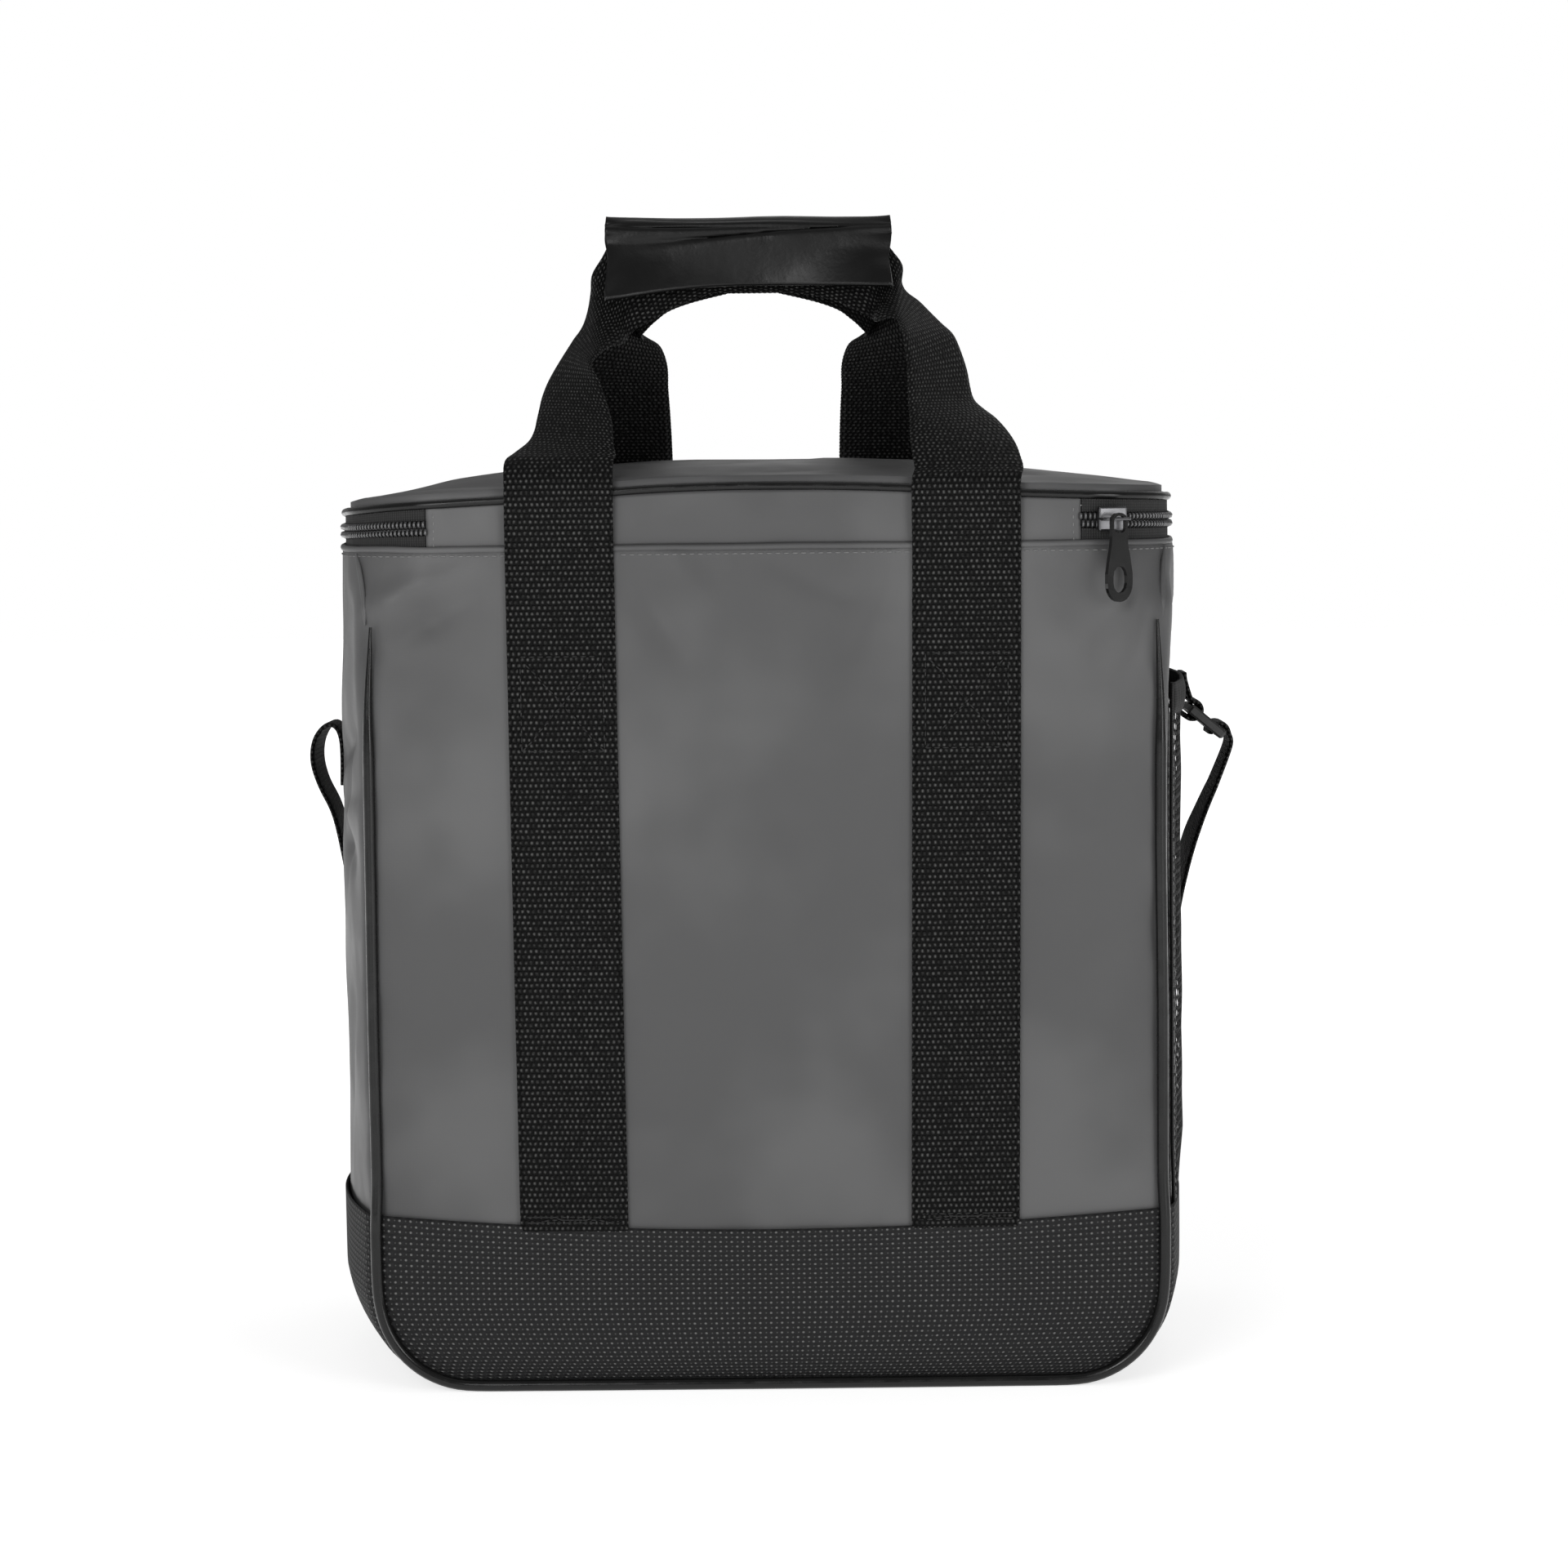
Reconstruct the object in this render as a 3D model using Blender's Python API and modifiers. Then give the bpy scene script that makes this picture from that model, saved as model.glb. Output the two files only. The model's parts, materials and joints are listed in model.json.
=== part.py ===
"""An insulated cooler bag with a hinged, zipped lid, two webbing handles joined in one grip,
a shoulder strap that hangs behind the bag and a net pocket on its right side.

Units are metres and +Z is up. The bag stands on Z = 0 with the middle of its base at the origin,
its front faces -Y and its right side is at +X. Every table of sections holds shares of the named
sizes or angles in degrees.
"""
import math

import bmesh
import bpy
from mathutils import Matrix, Vector

# Main sizes of the bag
WIDTH = 0.283                # across the front panel, seam to seam
DEPTH = 0.178                # front panel to back panel
HEIGHT = 0.297               # floor to the hem under the zip
WALL = 0.005                 # padded wall: two cloths with foam between
FOOT_RADIUS = 0.035          # bottom corners of the front and back panels
SIDE_BULGE_LEFT = 0.0155     # how far the left gusset swells past the seams
SIDE_BULGE_RIGHT = 0.0080    # the same on the right, under the pocket
BELLY = 0.007                # how far the front and back panels swell
SEAM_RADIUS = 0.006          # plan corner where the piping runs
HEM_RADIUS = 0.028           # plan corner at the hem and the lid
GAP = 0.0003                 # clearance between touching pieces

# Cloth on the outside
BOOT_CLOTH = 0.0012
BOOT_HEIGHT = 0.057
PIPING_RADIUS = 0.0016
PIPING_TOP = 0.270
HINGE_CLOTH = 0.0015
HINGE_FROM = -0.1175
HINGE_TO = 0.1110

# Zip between the hem and the lid
ZIP_INSET = 0.0015
TAPE_CLOTH = 0.0010
TAPE_HEIGHT = 0.0050
CHAIN_HEIGHT = 0.0052
CHAIN_DEPTH = 0.0026
SLIDER_TURN = 16.0           # how far round the front corner the slider stands
SLIDER_LENGTH = 0.0106
SLIDER_HEIGHT = 0.0085
SLIDER_PLATE = 0.0028
BRIDGE_WIRE = 0.0011
BRIDGE_REACH = 0.0052        # bar in front of the slider's plate
TAB_WIDTH = 0.0130
TAB_LENGTH = 0.0310
TAB_PLATE = 0.0013
TAB_TURN = 28.0              # turned about the vertical against the bar, left edge forward
TAB_RIM = 0.0010
TAB_EYE = 0.0060             # width of the eye that the bar passes through

# Lid
LID_EDGE = 0.0046
LID_CROWN = 0.0075

# Handles
WEB_WIDTH = 0.038
WEB_CLOTH = 0.0018
FRONT_SPACING = 0.142        # strap middle to strap middle at the hem of the front panel
FRONT_LEAN = 0.0045          # how much closer both straps come down to the boot
REAR_SPACING = 0.1026
REAR_SHIFT = -0.003          # the rear straps sit a little to the left
GRIP_RISE = 0.0970           # lid edge to the top of the grip
GRIP_LENGTH = 0.104
GRIP_MIDDLE = -0.0045        # middle of the grip along X
GRIP_HEIGHT = 0.0255
GRIP_DEPTH = 0.0140
GRIP_VINYL = 0.0012
GRIP_FLARE = 0.012           # the wrap opens at its ends, where the straps spread
GRIP_DROP = 0.0045           # its lower edge hangs further down at the left end

# Shoulder strap
STRAP_WIDTH = 0.025
STRAP_CLOTH = 0.0018
ADJUSTER_LENGTH = 0.016
ADJUSTER_WIDTH = 0.032
ADJUSTER_PLATE = 0.0036
ADJUSTER_BAR = 0.0030

# Net pocket
POCKET_RISE = 0.8317         # mouth of the net, share of HEIGHT
POCKET_TOP = HEIGHT * POCKET_RISE
POCKET_REACH = 0.86          # share of the half depth that the net covers
POCKET_NET = 0.0010
POCKET_SLACK = 0.0055
POCKET_CLOSE = 0.025         # height over which the net draws in to the gusset at its foot
POCKET_PRESS = 0.0035        # how far the gusset is flatter behind the net
POCKET_FADE = 0.029          # height over which it is round again above the net
BINDING_HEIGHT = 0.0110
BINDING_CLOTH = 0.0012

RING_POINTS = 48

bpy_objects = bpy.data.objects
for old in list(bpy_objects):
    bpy_objects.remove(old, do_unlink=True)

parts = bpy.data.collections.new("cooler_bag")
cutters = bpy.data.collections.new("cutters")
bpy.context.scene.collection.children.link(parts)
bpy.context.scene.collection.children.link(cutters)

# Materials


def material(name, colour, roughness, metallic=0.0):
    made = bpy.data.materials.new(name)
    made.use_nodes = True
    shader = made.node_tree.nodes["Principled BSDF"]
    shader.inputs["Base Color"].default_value = (*colour, 1.0)
    shader.inputs["Roughness"].default_value = roughness
    shader.inputs["Metallic"].default_value = metallic
    made.diffuse_color = (*colour, 1.0)
    return made


GREY_CLOTH = material("grey_cloth", (0.135, 0.135, 0.135), 0.55)
BOOT_TEXTILE = material("boot_cloth", (0.020, 0.020, 0.020), 0.80)
PIPING_VINYL = material("piping_vinyl", (0.008, 0.008, 0.008), 0.25)
WEBBING = material("webbing", (0.010, 0.010, 0.010), 0.85)
WRAP_VINYL = material("wrap_vinyl", (0.012, 0.012, 0.012), 0.40)
ZIP_CLOTH = material("zip_cloth", (0.010, 0.010, 0.010), 0.85)
ZIP_TEETH = material("zip_teeth", (0.020, 0.020, 0.020), 0.35)
GUNMETAL = material("gunmetal", (0.20, 0.20, 0.21), 0.30, 1.0)
BLACK_GLOSS = material("black_gloss", (0.008, 0.008, 0.008), 0.20)
NET_CLOTH = material("net_cloth", (0.012, 0.012, 0.012), 0.85)
BLACK_PLASTIC = material("black_plastic", (0.018, 0.018, 0.018), 0.40)

# Small tools for meshes


def add_object(name, work, finish, home=parts):
    """Turns a bmesh into a named object with its material."""
    mesh = bpy.data.meshes.new(name)
    bmesh.ops.recalc_face_normals(work, faces=work.faces)
    work.to_mesh(mesh)
    work.free()
    mesh.materials.append(finish)
    made = bpy_objects.new(name, mesh)
    home.objects.link(made)
    return made


def solidify(target, thickness, offset):
    """Gives an open surface its wall; offset 1 grows along the normals, -1 against them."""
    wall = target.modifiers.new("wall", "SOLIDIFY")
    wall.thickness = thickness
    wall.offset = offset
    wall.use_even_offset = True
    wall.use_quality_normals = True


def shade(target, angle=40.0):
    target.data.shade_smooth()
    target.data.set_sharp_from_angle(angle=math.radians(angle))


def blend(a, b, share):
    return a + (b - a) * share


def spline(rows, samples):
    """Catmull-Rom through the rows of a table, the same number of samples in each interval."""
    points = []
    for i in range(len(rows) - 1):
        before = rows[max(i - 1, 0)]
        start, stop = rows[i], rows[i + 1]
        after = rows[min(i + 2, len(rows) - 1)]
        for step in range(samples):
            t = step / samples
            points.append([
                0.5 * (2 * p1 + (p2 - p0) * t + (2 * p0 - 5 * p1 + 4 * p2 - p3) * t * t
                       + (3 * p1 - p0 - 3 * p2 + p3) * t ** 3)
                for p0, p1, p2, p3 in zip(before, start, stop, after)])
    points.append(list(rows[-1]))
    return points


def loft(rings, closed):
    """A sheet of quads through rings with equal numbers of points."""
    work = bmesh.new()
    grid = [[work.verts.new(point) for point in ring] for ring in rings]
    count = len(rings[0])
    for low, high in zip(grid, grid[1:]):
        for i in range(count if closed else count - 1):
            j = (i + 1) % count
            work.faces.new((low[i], low[j], high[j], high[i]))
    return work, grid

# Form of the bag: plan sections up its height

# height: share of HEIGHT; left, right: seam places as shares of half the WIDTH;
# swell: share of the side bulge; belly: share of BELLY; corner: 0 at the seam, 1 at the hem
BAG_SECTIONS = [
    # height, left, right, swell, belly, corner
    (0.000, 0.990, 0.990, 0.10, 0.05, 0.0),
    (0.040, 0.990, 0.990, 0.70, 0.45, 0.0),
    (0.120, 0.990, 0.993, 1.00, 0.80, 0.0),
    (0.250, 0.992, 0.995, 1.00, 1.00, 0.0),
    (0.450, 0.995, 0.996, 0.98, 1.00, 0.0),
    (0.650, 0.998, 0.996, 0.94, 0.85, 0.05),
    (0.820, 1.000, 1.000, 0.90, 0.60, 0.08),
    (0.930, 1.000, 1.004, 0.86, 0.35, 0.35),
    (1.000, 1.000, 1.000, 0.82, 0.25, 1.0),
]


def section(z):
    """The section values at a height, straight between the rows of the table."""
    share = min(max(z / HEIGHT, 0.0), 1.0)
    for low, high in zip(BAG_SECTIONS, BAG_SECTIONS[1:]):
        if share <= high[0]:
            t = (share - low[0]) / (high[0] - low[0])
            return [blend(a, b, t) for a, b in zip(low, high)]
    return list(BAG_SECTIONS[-1])


def foot_inset(z):
    """How far the seam has moved in at a height, where the bottom corners are round."""
    if z >= FOOT_RADIUS:
        return 0.0
    rise = FOOT_RADIUS - z
    return FOOT_RADIUS - math.sqrt(max(FOOT_RADIUS ** 2 - rise ** 2, 0.0))


def seam_x(z, side):
    _, left, right, _, _, _ = section(z)
    return side * WIDTH / 2 * (left if side < 0 else right) - side * foot_inset(z)


def behind_pocket(z):
    """0 at the boot and above the net, 1 behind the net."""
    return min(max((z - BOOT_HEIGHT) / POCKET_CLOSE, 0.0), 1.0,
               max(1 - (z - POCKET_TOP) / POCKET_FADE, 0.0))


def swell_point(x, y, z):
    """Pushes a point of the plain plan outline out by the swell of its panel."""
    _, _, _, swell, belly, _ = section(z)
    half_x = abs(seam_x(z, -1 if x < 0 else 1))
    bulge = SIDE_BULGE_LEFT * swell
    if x >= 0:
        bulge = SIDE_BULGE_RIGHT * swell - POCKET_PRESS * behind_pocket(z)
    across = min(abs(x) / half_x, 1.0)
    along = min(abs(y) / (DEPTH / 2), 1.0)
    out_x = math.copysign(bulge * (1 - along ** 2) * across ** 3, x)
    out_y = math.copysign(BELLY * belly * (1 - across ** 2) * along ** 3, y)
    return x + out_x, y + out_y


def plan_ring(z, grow=0.0):
    """The bag's outline at a height, grown outward."""
    corner = section(z)[5]
    radius = blend(SEAM_RADIUS, HEM_RADIUS, corner)
    ring = []
    quarter = RING_POINTS // 4
    for turn in range(4):
        sign_x = 1 if turn in (0, 3) else -1
        sign_y = 1 if turn in (0, 1) else -1
        half_x = abs(seam_x(z, sign_x))
        centre = Vector((sign_x * (half_x - radius), sign_y * (DEPTH / 2 - radius)))
        corner_points = 5
        for step in range(corner_points):
            angle = math.radians(90 * turn + 90 * step / (corner_points - 1))
            ring.append(centre + radius * Vector((math.cos(angle), math.sin(angle))))
        following = (turn + 1) % 4
        next_x = 1 if following in (0, 3) else -1
        next_y = 1 if following in (0, 1) else -1
        next_half = abs(seam_x(z, next_x))
        angle = math.radians(90 * following)
        target = Vector((next_x * (next_half - radius), next_y * (DEPTH / 2 - radius)))
        target += radius * Vector((math.cos(angle), math.sin(angle)))
        start = ring[-1].copy()
        straight = quarter - corner_points
        for step in range(1, straight + 1):
            ring.append(start.lerp(target, step / (straight + 1)))
    swollen = [Vector(swell_point(p.x, p.y, z)) for p in ring]
    grown = []
    for i, point in enumerate(swollen):
        along = swollen[(i + 1) % len(swollen)] - swollen[i - 1]
        normal = Vector((along.y, -along.x)).normalized()
        place = point + normal * grow
        grown.append(Vector((place.x, place.y, z)))
    return grown


def face_y(x, z):
    """The face of the front panel at a place; the back panel's is the same with the sign turned."""
    return -abs(swell_point(x, DEPTH / 2, z)[1])


def side_x(y, z, side):
    """The side gusset's face at a place."""
    return swell_point(seam_x(z, side), y, z)[0]


FOOT_ANGLES = (0, 18, 36, 54, 72, 90)
foot_rows = [FOOT_RADIUS * (1 - math.cos(math.radians(angle))) for angle in FOOT_ANGLES]
FLOOR_LIFT = BOOT_CLOTH + GAP          # the shell stands inside the boot
boot_rows = foot_rows + [BOOT_HEIGHT * 0.8, BOOT_HEIGHT]
WALL_SHARES = (0.25, 0.35, 0.45, 0.55, 0.65, 0.735, 0.82, 0.93, 1.0)
shell_rows = foot_rows + [BOOT_HEIGHT * 0.85] + [HEIGHT * share for share in WALL_SHARES]


def cup(name, rows, grow, floor, thickness, finish):
    """An open cup through the plan rings, with a flat floor; its wall grows inward."""
    rings = [plan_ring(z, grow) for z in rows]
    scale = (rows[-1] - floor) / (rows[-1] - rows[0])
    for ring in rings:
        for point in ring:
            point.z = rows[-1] - (rows[-1] - point.z) * scale
    work, grid = loft(rings, True)
    work.faces.new(list(reversed(grid[0])))
    made = add_object(name, work, finish)
    solidify(made, thickness, -1)
    shade(made)
    return made


body_shell = cup("body_shell", shell_rows, 0.0, FLOOR_LIFT, WALL, GREY_CLOTH)
base_boot = cup("base_boot", boot_rows, FLOOR_LIFT, 0.0, BOOT_CLOTH, BOOT_TEXTILE)

# Piping along the front and back seams


def tube(name, points, radius, finish, ends=(1.0, 1.0), resolution=2, cyclic=False):
    """A round cord through the points; ends scales the radius at its first and last point."""
    curve = bpy.data.curves.new(name, "CURVE")
    curve.dimensions = "3D"
    curve.bevel_depth = radius
    curve.bevel_resolution = resolution
    curve.use_fill_caps = not cyclic
    path = curve.splines.new("POLY")
    path.points.add(len(points) - 1)
    for slot, point in zip(path.points, points):
        slot.co = (*point, 1.0)
    path.points[0].radius = ends[0]
    path.points[-1].radius = ends[1]
    path.use_cyclic_u = cyclic
    curve.materials.append(finish)
    made = bpy_objects.new(name, curve)
    parts.objects.link(made)
    return made


PIPING_INSET = PIPING_RADIUS + GAP     # from the edge of the panel to the middle of the cord


def piping_point(x, z, face, side=0):
    """A point of the cord on the cloth: the boot's at the foot, the shell's above it."""
    over_boot = min(max((BOOT_HEIGHT * 1.25 - z) / (BOOT_HEIGHT * 0.2), 0.0), 1.0)
    stand = FLOOR_LIFT * over_boot + GAP + PIPING_RADIUS
    flat_y = abs(face_y(x, z)) + stand
    if not side:
        return Vector((x, face * flat_y, z))
    corner = section(z)[5]
    radius = blend(SEAM_RADIUS, HEM_RADIUS, corner)
    angle = math.radians(blend(62, 45, corner))
    flat_x = side * (abs(seam_x(z, side)) - radius + radius * math.cos(angle))
    round_x, round_y = swell_point(flat_x, DEPTH / 2 - radius + radius * math.sin(angle), z)
    round_x = abs(round_x) + stand * math.cos(angle)
    round_y += stand * math.sin(angle)
    foot = min(max(1 - z / FOOT_RADIUS, 0.0), 1.0)
    along_x = side * round_x if z >= FOOT_RADIUS else x
    return Vector((along_x, face * blend(round_y, flat_y, foot ** 0.5), z))


def piping_path(face):
    """Down the left seam, round both bottom corners and up the right seam."""
    upright = [PIPING_TOP * share for share in (1.0, 0.93, 0.8, 0.62, 0.45, 0.33, 0.26, 0.21, 0.17)]
    arc = [math.radians(90 - 90 * step / 7) for step in range(8)]
    turn = FOOT_RADIUS - PIPING_INSET
    halves = {}
    for side in (-1, 1):
        half = [(seam_x(z, side) - side * PIPING_INSET, z) for z in upright]
        foot_x = seam_x(FOOT_RADIUS, side) - side * FOOT_RADIUS
        half += [(foot_x + side * turn * math.sin(a), FOOT_RADIUS - turn * math.cos(a)) for a in arc]
        halves[side] = half
    middle = [(blend(halves[-1][-1][0], halves[1][-1][0], share / 6), PIPING_INSET)
              for share in range(1, 6)]
    left = [piping_point(x, z, face, -1) for x, z in halves[-1]]
    right = [piping_point(x, z, face, 1) for x, z in reversed(halves[1])]
    return left + [piping_point(x, z, face) for x, z in middle] + right


front_piping = tube("front_piping", piping_path(-1), PIPING_RADIUS, PIPING_VINYL, (0.35, 0.35))
rear_piping = tube("rear_piping", piping_path(1), PIPING_RADIUS, PIPING_VINYL, (0.35, 0.35))

# Hinge strip, zip tapes and chain between the hem and the lid

TAPE_LOW = HEIGHT + GAP
CHAIN_LOW = TAPE_LOW + TAPE_HEIGHT + GAP
TAPE_HIGH = CHAIN_LOW + CHAIN_HEIGHT + GAP
LID_BASE = TAPE_HIGH + TAPE_HEIGHT + GAP
LID_TOP = LID_BASE + LID_EDGE
GRIP_TOP = LID_TOP + GRIP_RISE
GRIP_LIP = GRIP_TOP - GRIP_HEIGHT


def rim_path(grow, start_x, stop_x):
    """The hem's outline from start_x on the front, round the right side and back, to stop_x."""
    ring = plan_ring(HEIGHT, grow)
    front = [p for p in ring if p.y < -DEPTH * 0.4]
    first = ring.index(min(front, key=lambda p: p.x))
    ordered = ring[first:] + ring[:first]
    right = [p for p in ordered if not (p.y < -DEPTH * 0.4 and p.x < start_x + GAP)]
    left = [p for p in ordered if p.y < -DEPTH * 0.4 and p.x < stop_x - GAP]

    def edge(x):
        """Where the outline crosses a place along X on the front."""
        nearest = sorted(front, key=lambda p: p.x)
        for a, b in zip(nearest, nearest[1:]):
            if a.x <= x <= b.x:
                return a.lerp(b, (x - a.x) / (b.x - a.x))
        return nearest[-1]

    return [edge(start_x)] + right + left + [edge(stop_x)]


def standing_band(name, path, low, high, thickness, finish):
    """A band of cloth that stands on edge along a path; its wall grows inward."""
    rings = [[Vector((p.x, p.y, z)) for p in path] for z in (low, high)]
    work, _ = loft(rings, False)
    made = add_object(name, work, finish)
    solidify(made, thickness, -1)
    return made


def hinge_path(grow):
    ring = sorted((p for p in plan_ring(HEIGHT, grow) if p.y < -DEPTH * 0.4), key=lambda p: p.x)
    inner = [p for p in ring if HINGE_FROM < p.x < HINGE_TO]
    ends = []
    for x in (HINGE_FROM, HINGE_TO):
        for a, b in zip(ring, ring[1:]):
            if a.x <= x <= b.x:
                ends.append(a.lerp(b, (x - a.x) / (b.x - a.x)))
                break
    return [ends[0]] + inner + [ends[1]]


tape_path = rim_path(-ZIP_INSET, HINGE_TO + GAP, HINGE_FROM - GAP)
chain_path = rim_path(-ZIP_INSET + CHAIN_DEPTH * 0.4, HINGE_TO + GAP, HINGE_FROM - GAP)
zip_tape_lower = standing_band(
    "zip_tape_lower", tape_path, TAPE_LOW, TAPE_LOW + TAPE_HEIGHT, TAPE_CLOTH, ZIP_CLOTH)
zip_tape_upper = standing_band(
    "zip_tape_upper", tape_path, TAPE_HIGH, TAPE_HIGH + TAPE_HEIGHT, TAPE_CLOTH, ZIP_CLOTH)
zip_chain = standing_band(
    "zip_chain", chain_path, CHAIN_LOW, CHAIN_LOW + CHAIN_HEIGHT, CHAIN_DEPTH, ZIP_TEETH)
hinge_strip = standing_band(
    "hinge_strip", hinge_path(-ZIP_INSET), TAPE_LOW, LID_BASE - GAP, HINGE_CLOTH, GREY_CLOTH)

# Lid with its piping

LID_GROW = -(2 * PIPING_RADIUS + GAP)  # the cord fills the step between lid and hem


def lid_ring(share, z):
    """The lid's outline drawn in towards its middle."""
    ring = plan_ring(HEIGHT, LID_GROW)
    centre = Vector((sum(p.x for p in ring) / len(ring), 0.0, 0.0))
    return [Vector((centre.x + (p.x - centre.x) * share, p.y * share, z)) for p in ring]


# reach: share of the way from the middle to the edge; rise: share of LID_CROWN
LID_ROWS = [(1.0, 0.0), (0.94, 0.26), (0.82, 0.50), (0.64, 0.76), (0.40, 0.93), (0.16, 1.0)]

lid_rings = [lid_ring(1.0, LID_BASE)]
lid_rings += [lid_ring(reach, LID_BASE + LID_EDGE + LID_CROWN * rise) for reach, rise in LID_ROWS]
lid_mesh, lid_grid = loft(lid_rings, True)
lid_mesh.faces.new(lid_grid[-1])
under_rings = [lid_ring(reach, LID_BASE + LID_CROWN * rise) for reach, rise in LID_ROWS[1:]]
under = [[lid_mesh.verts.new(point) for point in ring] for ring in under_rings]
for low, high in zip([lid_grid[0]] + under, under):
    for i in range(len(low)):
        j = (i + 1) % len(low)
        lid_mesh.faces.new((low[j], low[i], high[i], high[j]))
lid_mesh.faces.new(list(reversed(under[-1])))
lid_panel = add_object("lid_panel", lid_mesh, GREY_CLOTH)
shade(lid_panel)

cord_path = [Vector((p.x, p.y, LID_BASE + LID_EDGE / 2))
             for p in plan_ring(HEIGHT, LID_GROW + GAP + PIPING_RADIUS)]
lid_piping = tube("lid_piping", cord_path, PIPING_RADIUS, PIPING_VINYL, cyclic=True)

# Webbing: a flat strip through pairs of edge points


def webbing(name, edges, thickness, finish=WEBBING, across=2):
    """A strip whose two edges pass through the pairs; its wall lies on both sides of them."""
    rows = [[a.lerp(b, step / across) for step in range(across + 1)] for a, b in edges]
    work, _ = loft(rows, False)
    made = add_object(name, work, finish)
    solidify(made, thickness, 0)
    return made


def edge_pair(centre, width, yaw, pitch):
    """The edges of a strip: its width points yaw degrees round from +X and pitch degrees up."""
    yaw, pitch = math.radians(yaw), math.radians(pitch)
    way = Vector((math.cos(pitch) * math.cos(yaw), math.cos(pitch) * math.sin(yaw), math.sin(pitch)))
    return centre - way * width / 2, centre + way * width / 2


# Handles. A strap rises flat on its panel, leans over the lid, turns its outer edge back and up,
# and lies on edge in the grip. out: share of half the strap spacing; back: share of the way from
# the panel to the middle of the bag; up: 0 to 1 from the lid to the wrap's lip, 1 to 2 up the wrap;
# yaw, pitch: turn of the width from the outer edge's flat direction; wide: share of WEB_WIDTH
FRONT_LEFT_TURN = [
    # out, back, up, yaw, pitch, wide
    (1.000, 0.064, 0.123, 0, 0, 1.00),
    (0.949, 0.220, 0.212, 35, 2, 1.00),
    (0.939, 0.361, 0.322, 43, 2, 1.00),
    (0.947, 0.482, 0.425, 50, 2, 1.00),
    (0.948, 0.570, 0.525, 59, 2, 1.00),
    (0.934, 0.637, 0.627, 72, 7, 1.00),
    (0.904, 0.725, 0.691, 77, 13, 1.00),
    (0.863, 0.774, 0.751, 79, 19, 1.00),
    (0.825, 0.851, 0.849, 71, 41, 0.84),
    (0.751, 0.945, 0.960, 24, 70, 0.81),
    (0.651, 0.958, 1.167, 16, 71, 0.91),
    (0.470, 0.963, 1.310, 15, 78, 0.76),
    (0.263, 0.978, 1.389, 0, 82, 0.62),
]
FRONT_RIGHT_TURN = [
    # out, back, up, yaw, pitch, wide
    (1.018, 0.064, 0.072, 0, 0, 1.00),
    (0.999, 0.190, 0.187, 12, 0, 1.00),
    (0.955, 0.340, 0.309, 35, 2, 1.00),
    (0.904, 0.470, 0.406, 50, 1, 1.00),
    (0.890, 0.565, 0.540, 54, 4, 1.00),
    (0.860, 0.637, 0.678, 60, 11, 1.00),
    (0.823, 0.690, 0.766, 66, 7, 1.00),
    (0.751, 0.785, 0.864, 76, 15, 0.92),
    (0.692, 0.830, 0.924, 79, 27, 0.76),
    (0.627, 0.945, 1.017, 29, 72, 0.70),
    (0.547, 0.956, 1.218, 21, 73, 0.78),
    (0.333, 0.964, 1.351, 20, 84, 0.68),
    (0.126, 0.978, 1.389, 0, 88, 0.62),
]
REAR_TURN = [
    # out, back, up, yaw, pitch, wide
    (1.000, 0.064, 0.112, 0, 0, 1.00),
    (1.000, 0.200, 0.252, 4, 0, 1.00),
    (1.000, 0.340, 0.387, 10, 0, 1.00),
    (0.990, 0.480, 0.521, 20, 1, 1.00),
    (0.943, 0.600, 0.640, 36, 4, 1.00),
    (0.910, 0.690, 0.760, 54, 8, 1.00),
    (0.922, 0.760, 0.849, 66, 20, 1.00),
    (0.906, 0.865, 0.931, 66, 46, 0.85),
    (0.840, 0.920, 1.017, 45, 62, 0.80),
    (0.700, 0.954, 1.222, 20, 74, 0.78),
    (0.470, 0.966, 1.322, 10, 80, 0.70),
    (0.180, 0.978, 1.389, 0, 88, 0.62),
]


def strap_height(up):
    """0 to 1 runs from the lid to the wrap's lip, 1 to 2 from the lip to the wrap's top."""
    if up <= 1:
        return blend(LID_TOP, GRIP_LIP, up)
    return blend(GRIP_LIP, GRIP_TOP, up - 1)


def turned_edges(rows, side, face, spacing, shift, samples):
    """The free stretch of one strap, from the lid's edge up into the grip; outer edge last."""
    edges = []
    start_y = DEPTH / 2 + WEB_CLOTH
    for out, back, up, yaw, pitch, wide in spline(rows, samples):
        centre = Vector((
            shift + side * out * spacing / 2,
            face * start_y * (1 - back),
            strap_height(up)))
        outward = yaw if side > 0 else 180 - yaw
        edges.append(edge_pair(centre, WEB_WIDTH * wide, -face * outward, pitch))
    return edges


def panel_edges(side, face, spacing, shift, lean):
    """The sewn stretch of a strap, flat on its panel from the boot to the lid; outer edge last."""
    edges = []
    heights = [BOOT_HEIGHT + GAP] + [HEIGHT * share for share in WALL_SHARES] + [LID_TOP]
    for z in heights:
        pair = []
        closer = lean / 2 * min((HEIGHT - z) / (HEIGHT - BOOT_HEIGHT), 1.0) if z < HEIGHT else 0.0
        for across in (-0.5, 0.5):
            x = shift + side * (spacing / 2 - closer + across * WEB_WIDTH)
            pair.append(Vector((x, face * (abs(face_y(x, z)) + GAP + WEB_CLOTH / 2), z)))
        edges.append(tuple(pair))
    return edges


def handle(name, left_rows, right_rows, face, spacing, shift, lean):
    """One piece of webbing: up one side of the panel, through the grip, down the other side."""
    left = panel_edges(-1, face, spacing, shift, lean)
    left += turned_edges(left_rows, -1, face, spacing, shift, 2)
    right = panel_edges(1, face, spacing, shift, lean)
    right += turned_edges(right_rows, 1, face, spacing, shift, 2)
    return webbing(name, left + list(reversed(right)), WEB_CLOTH)


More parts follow.
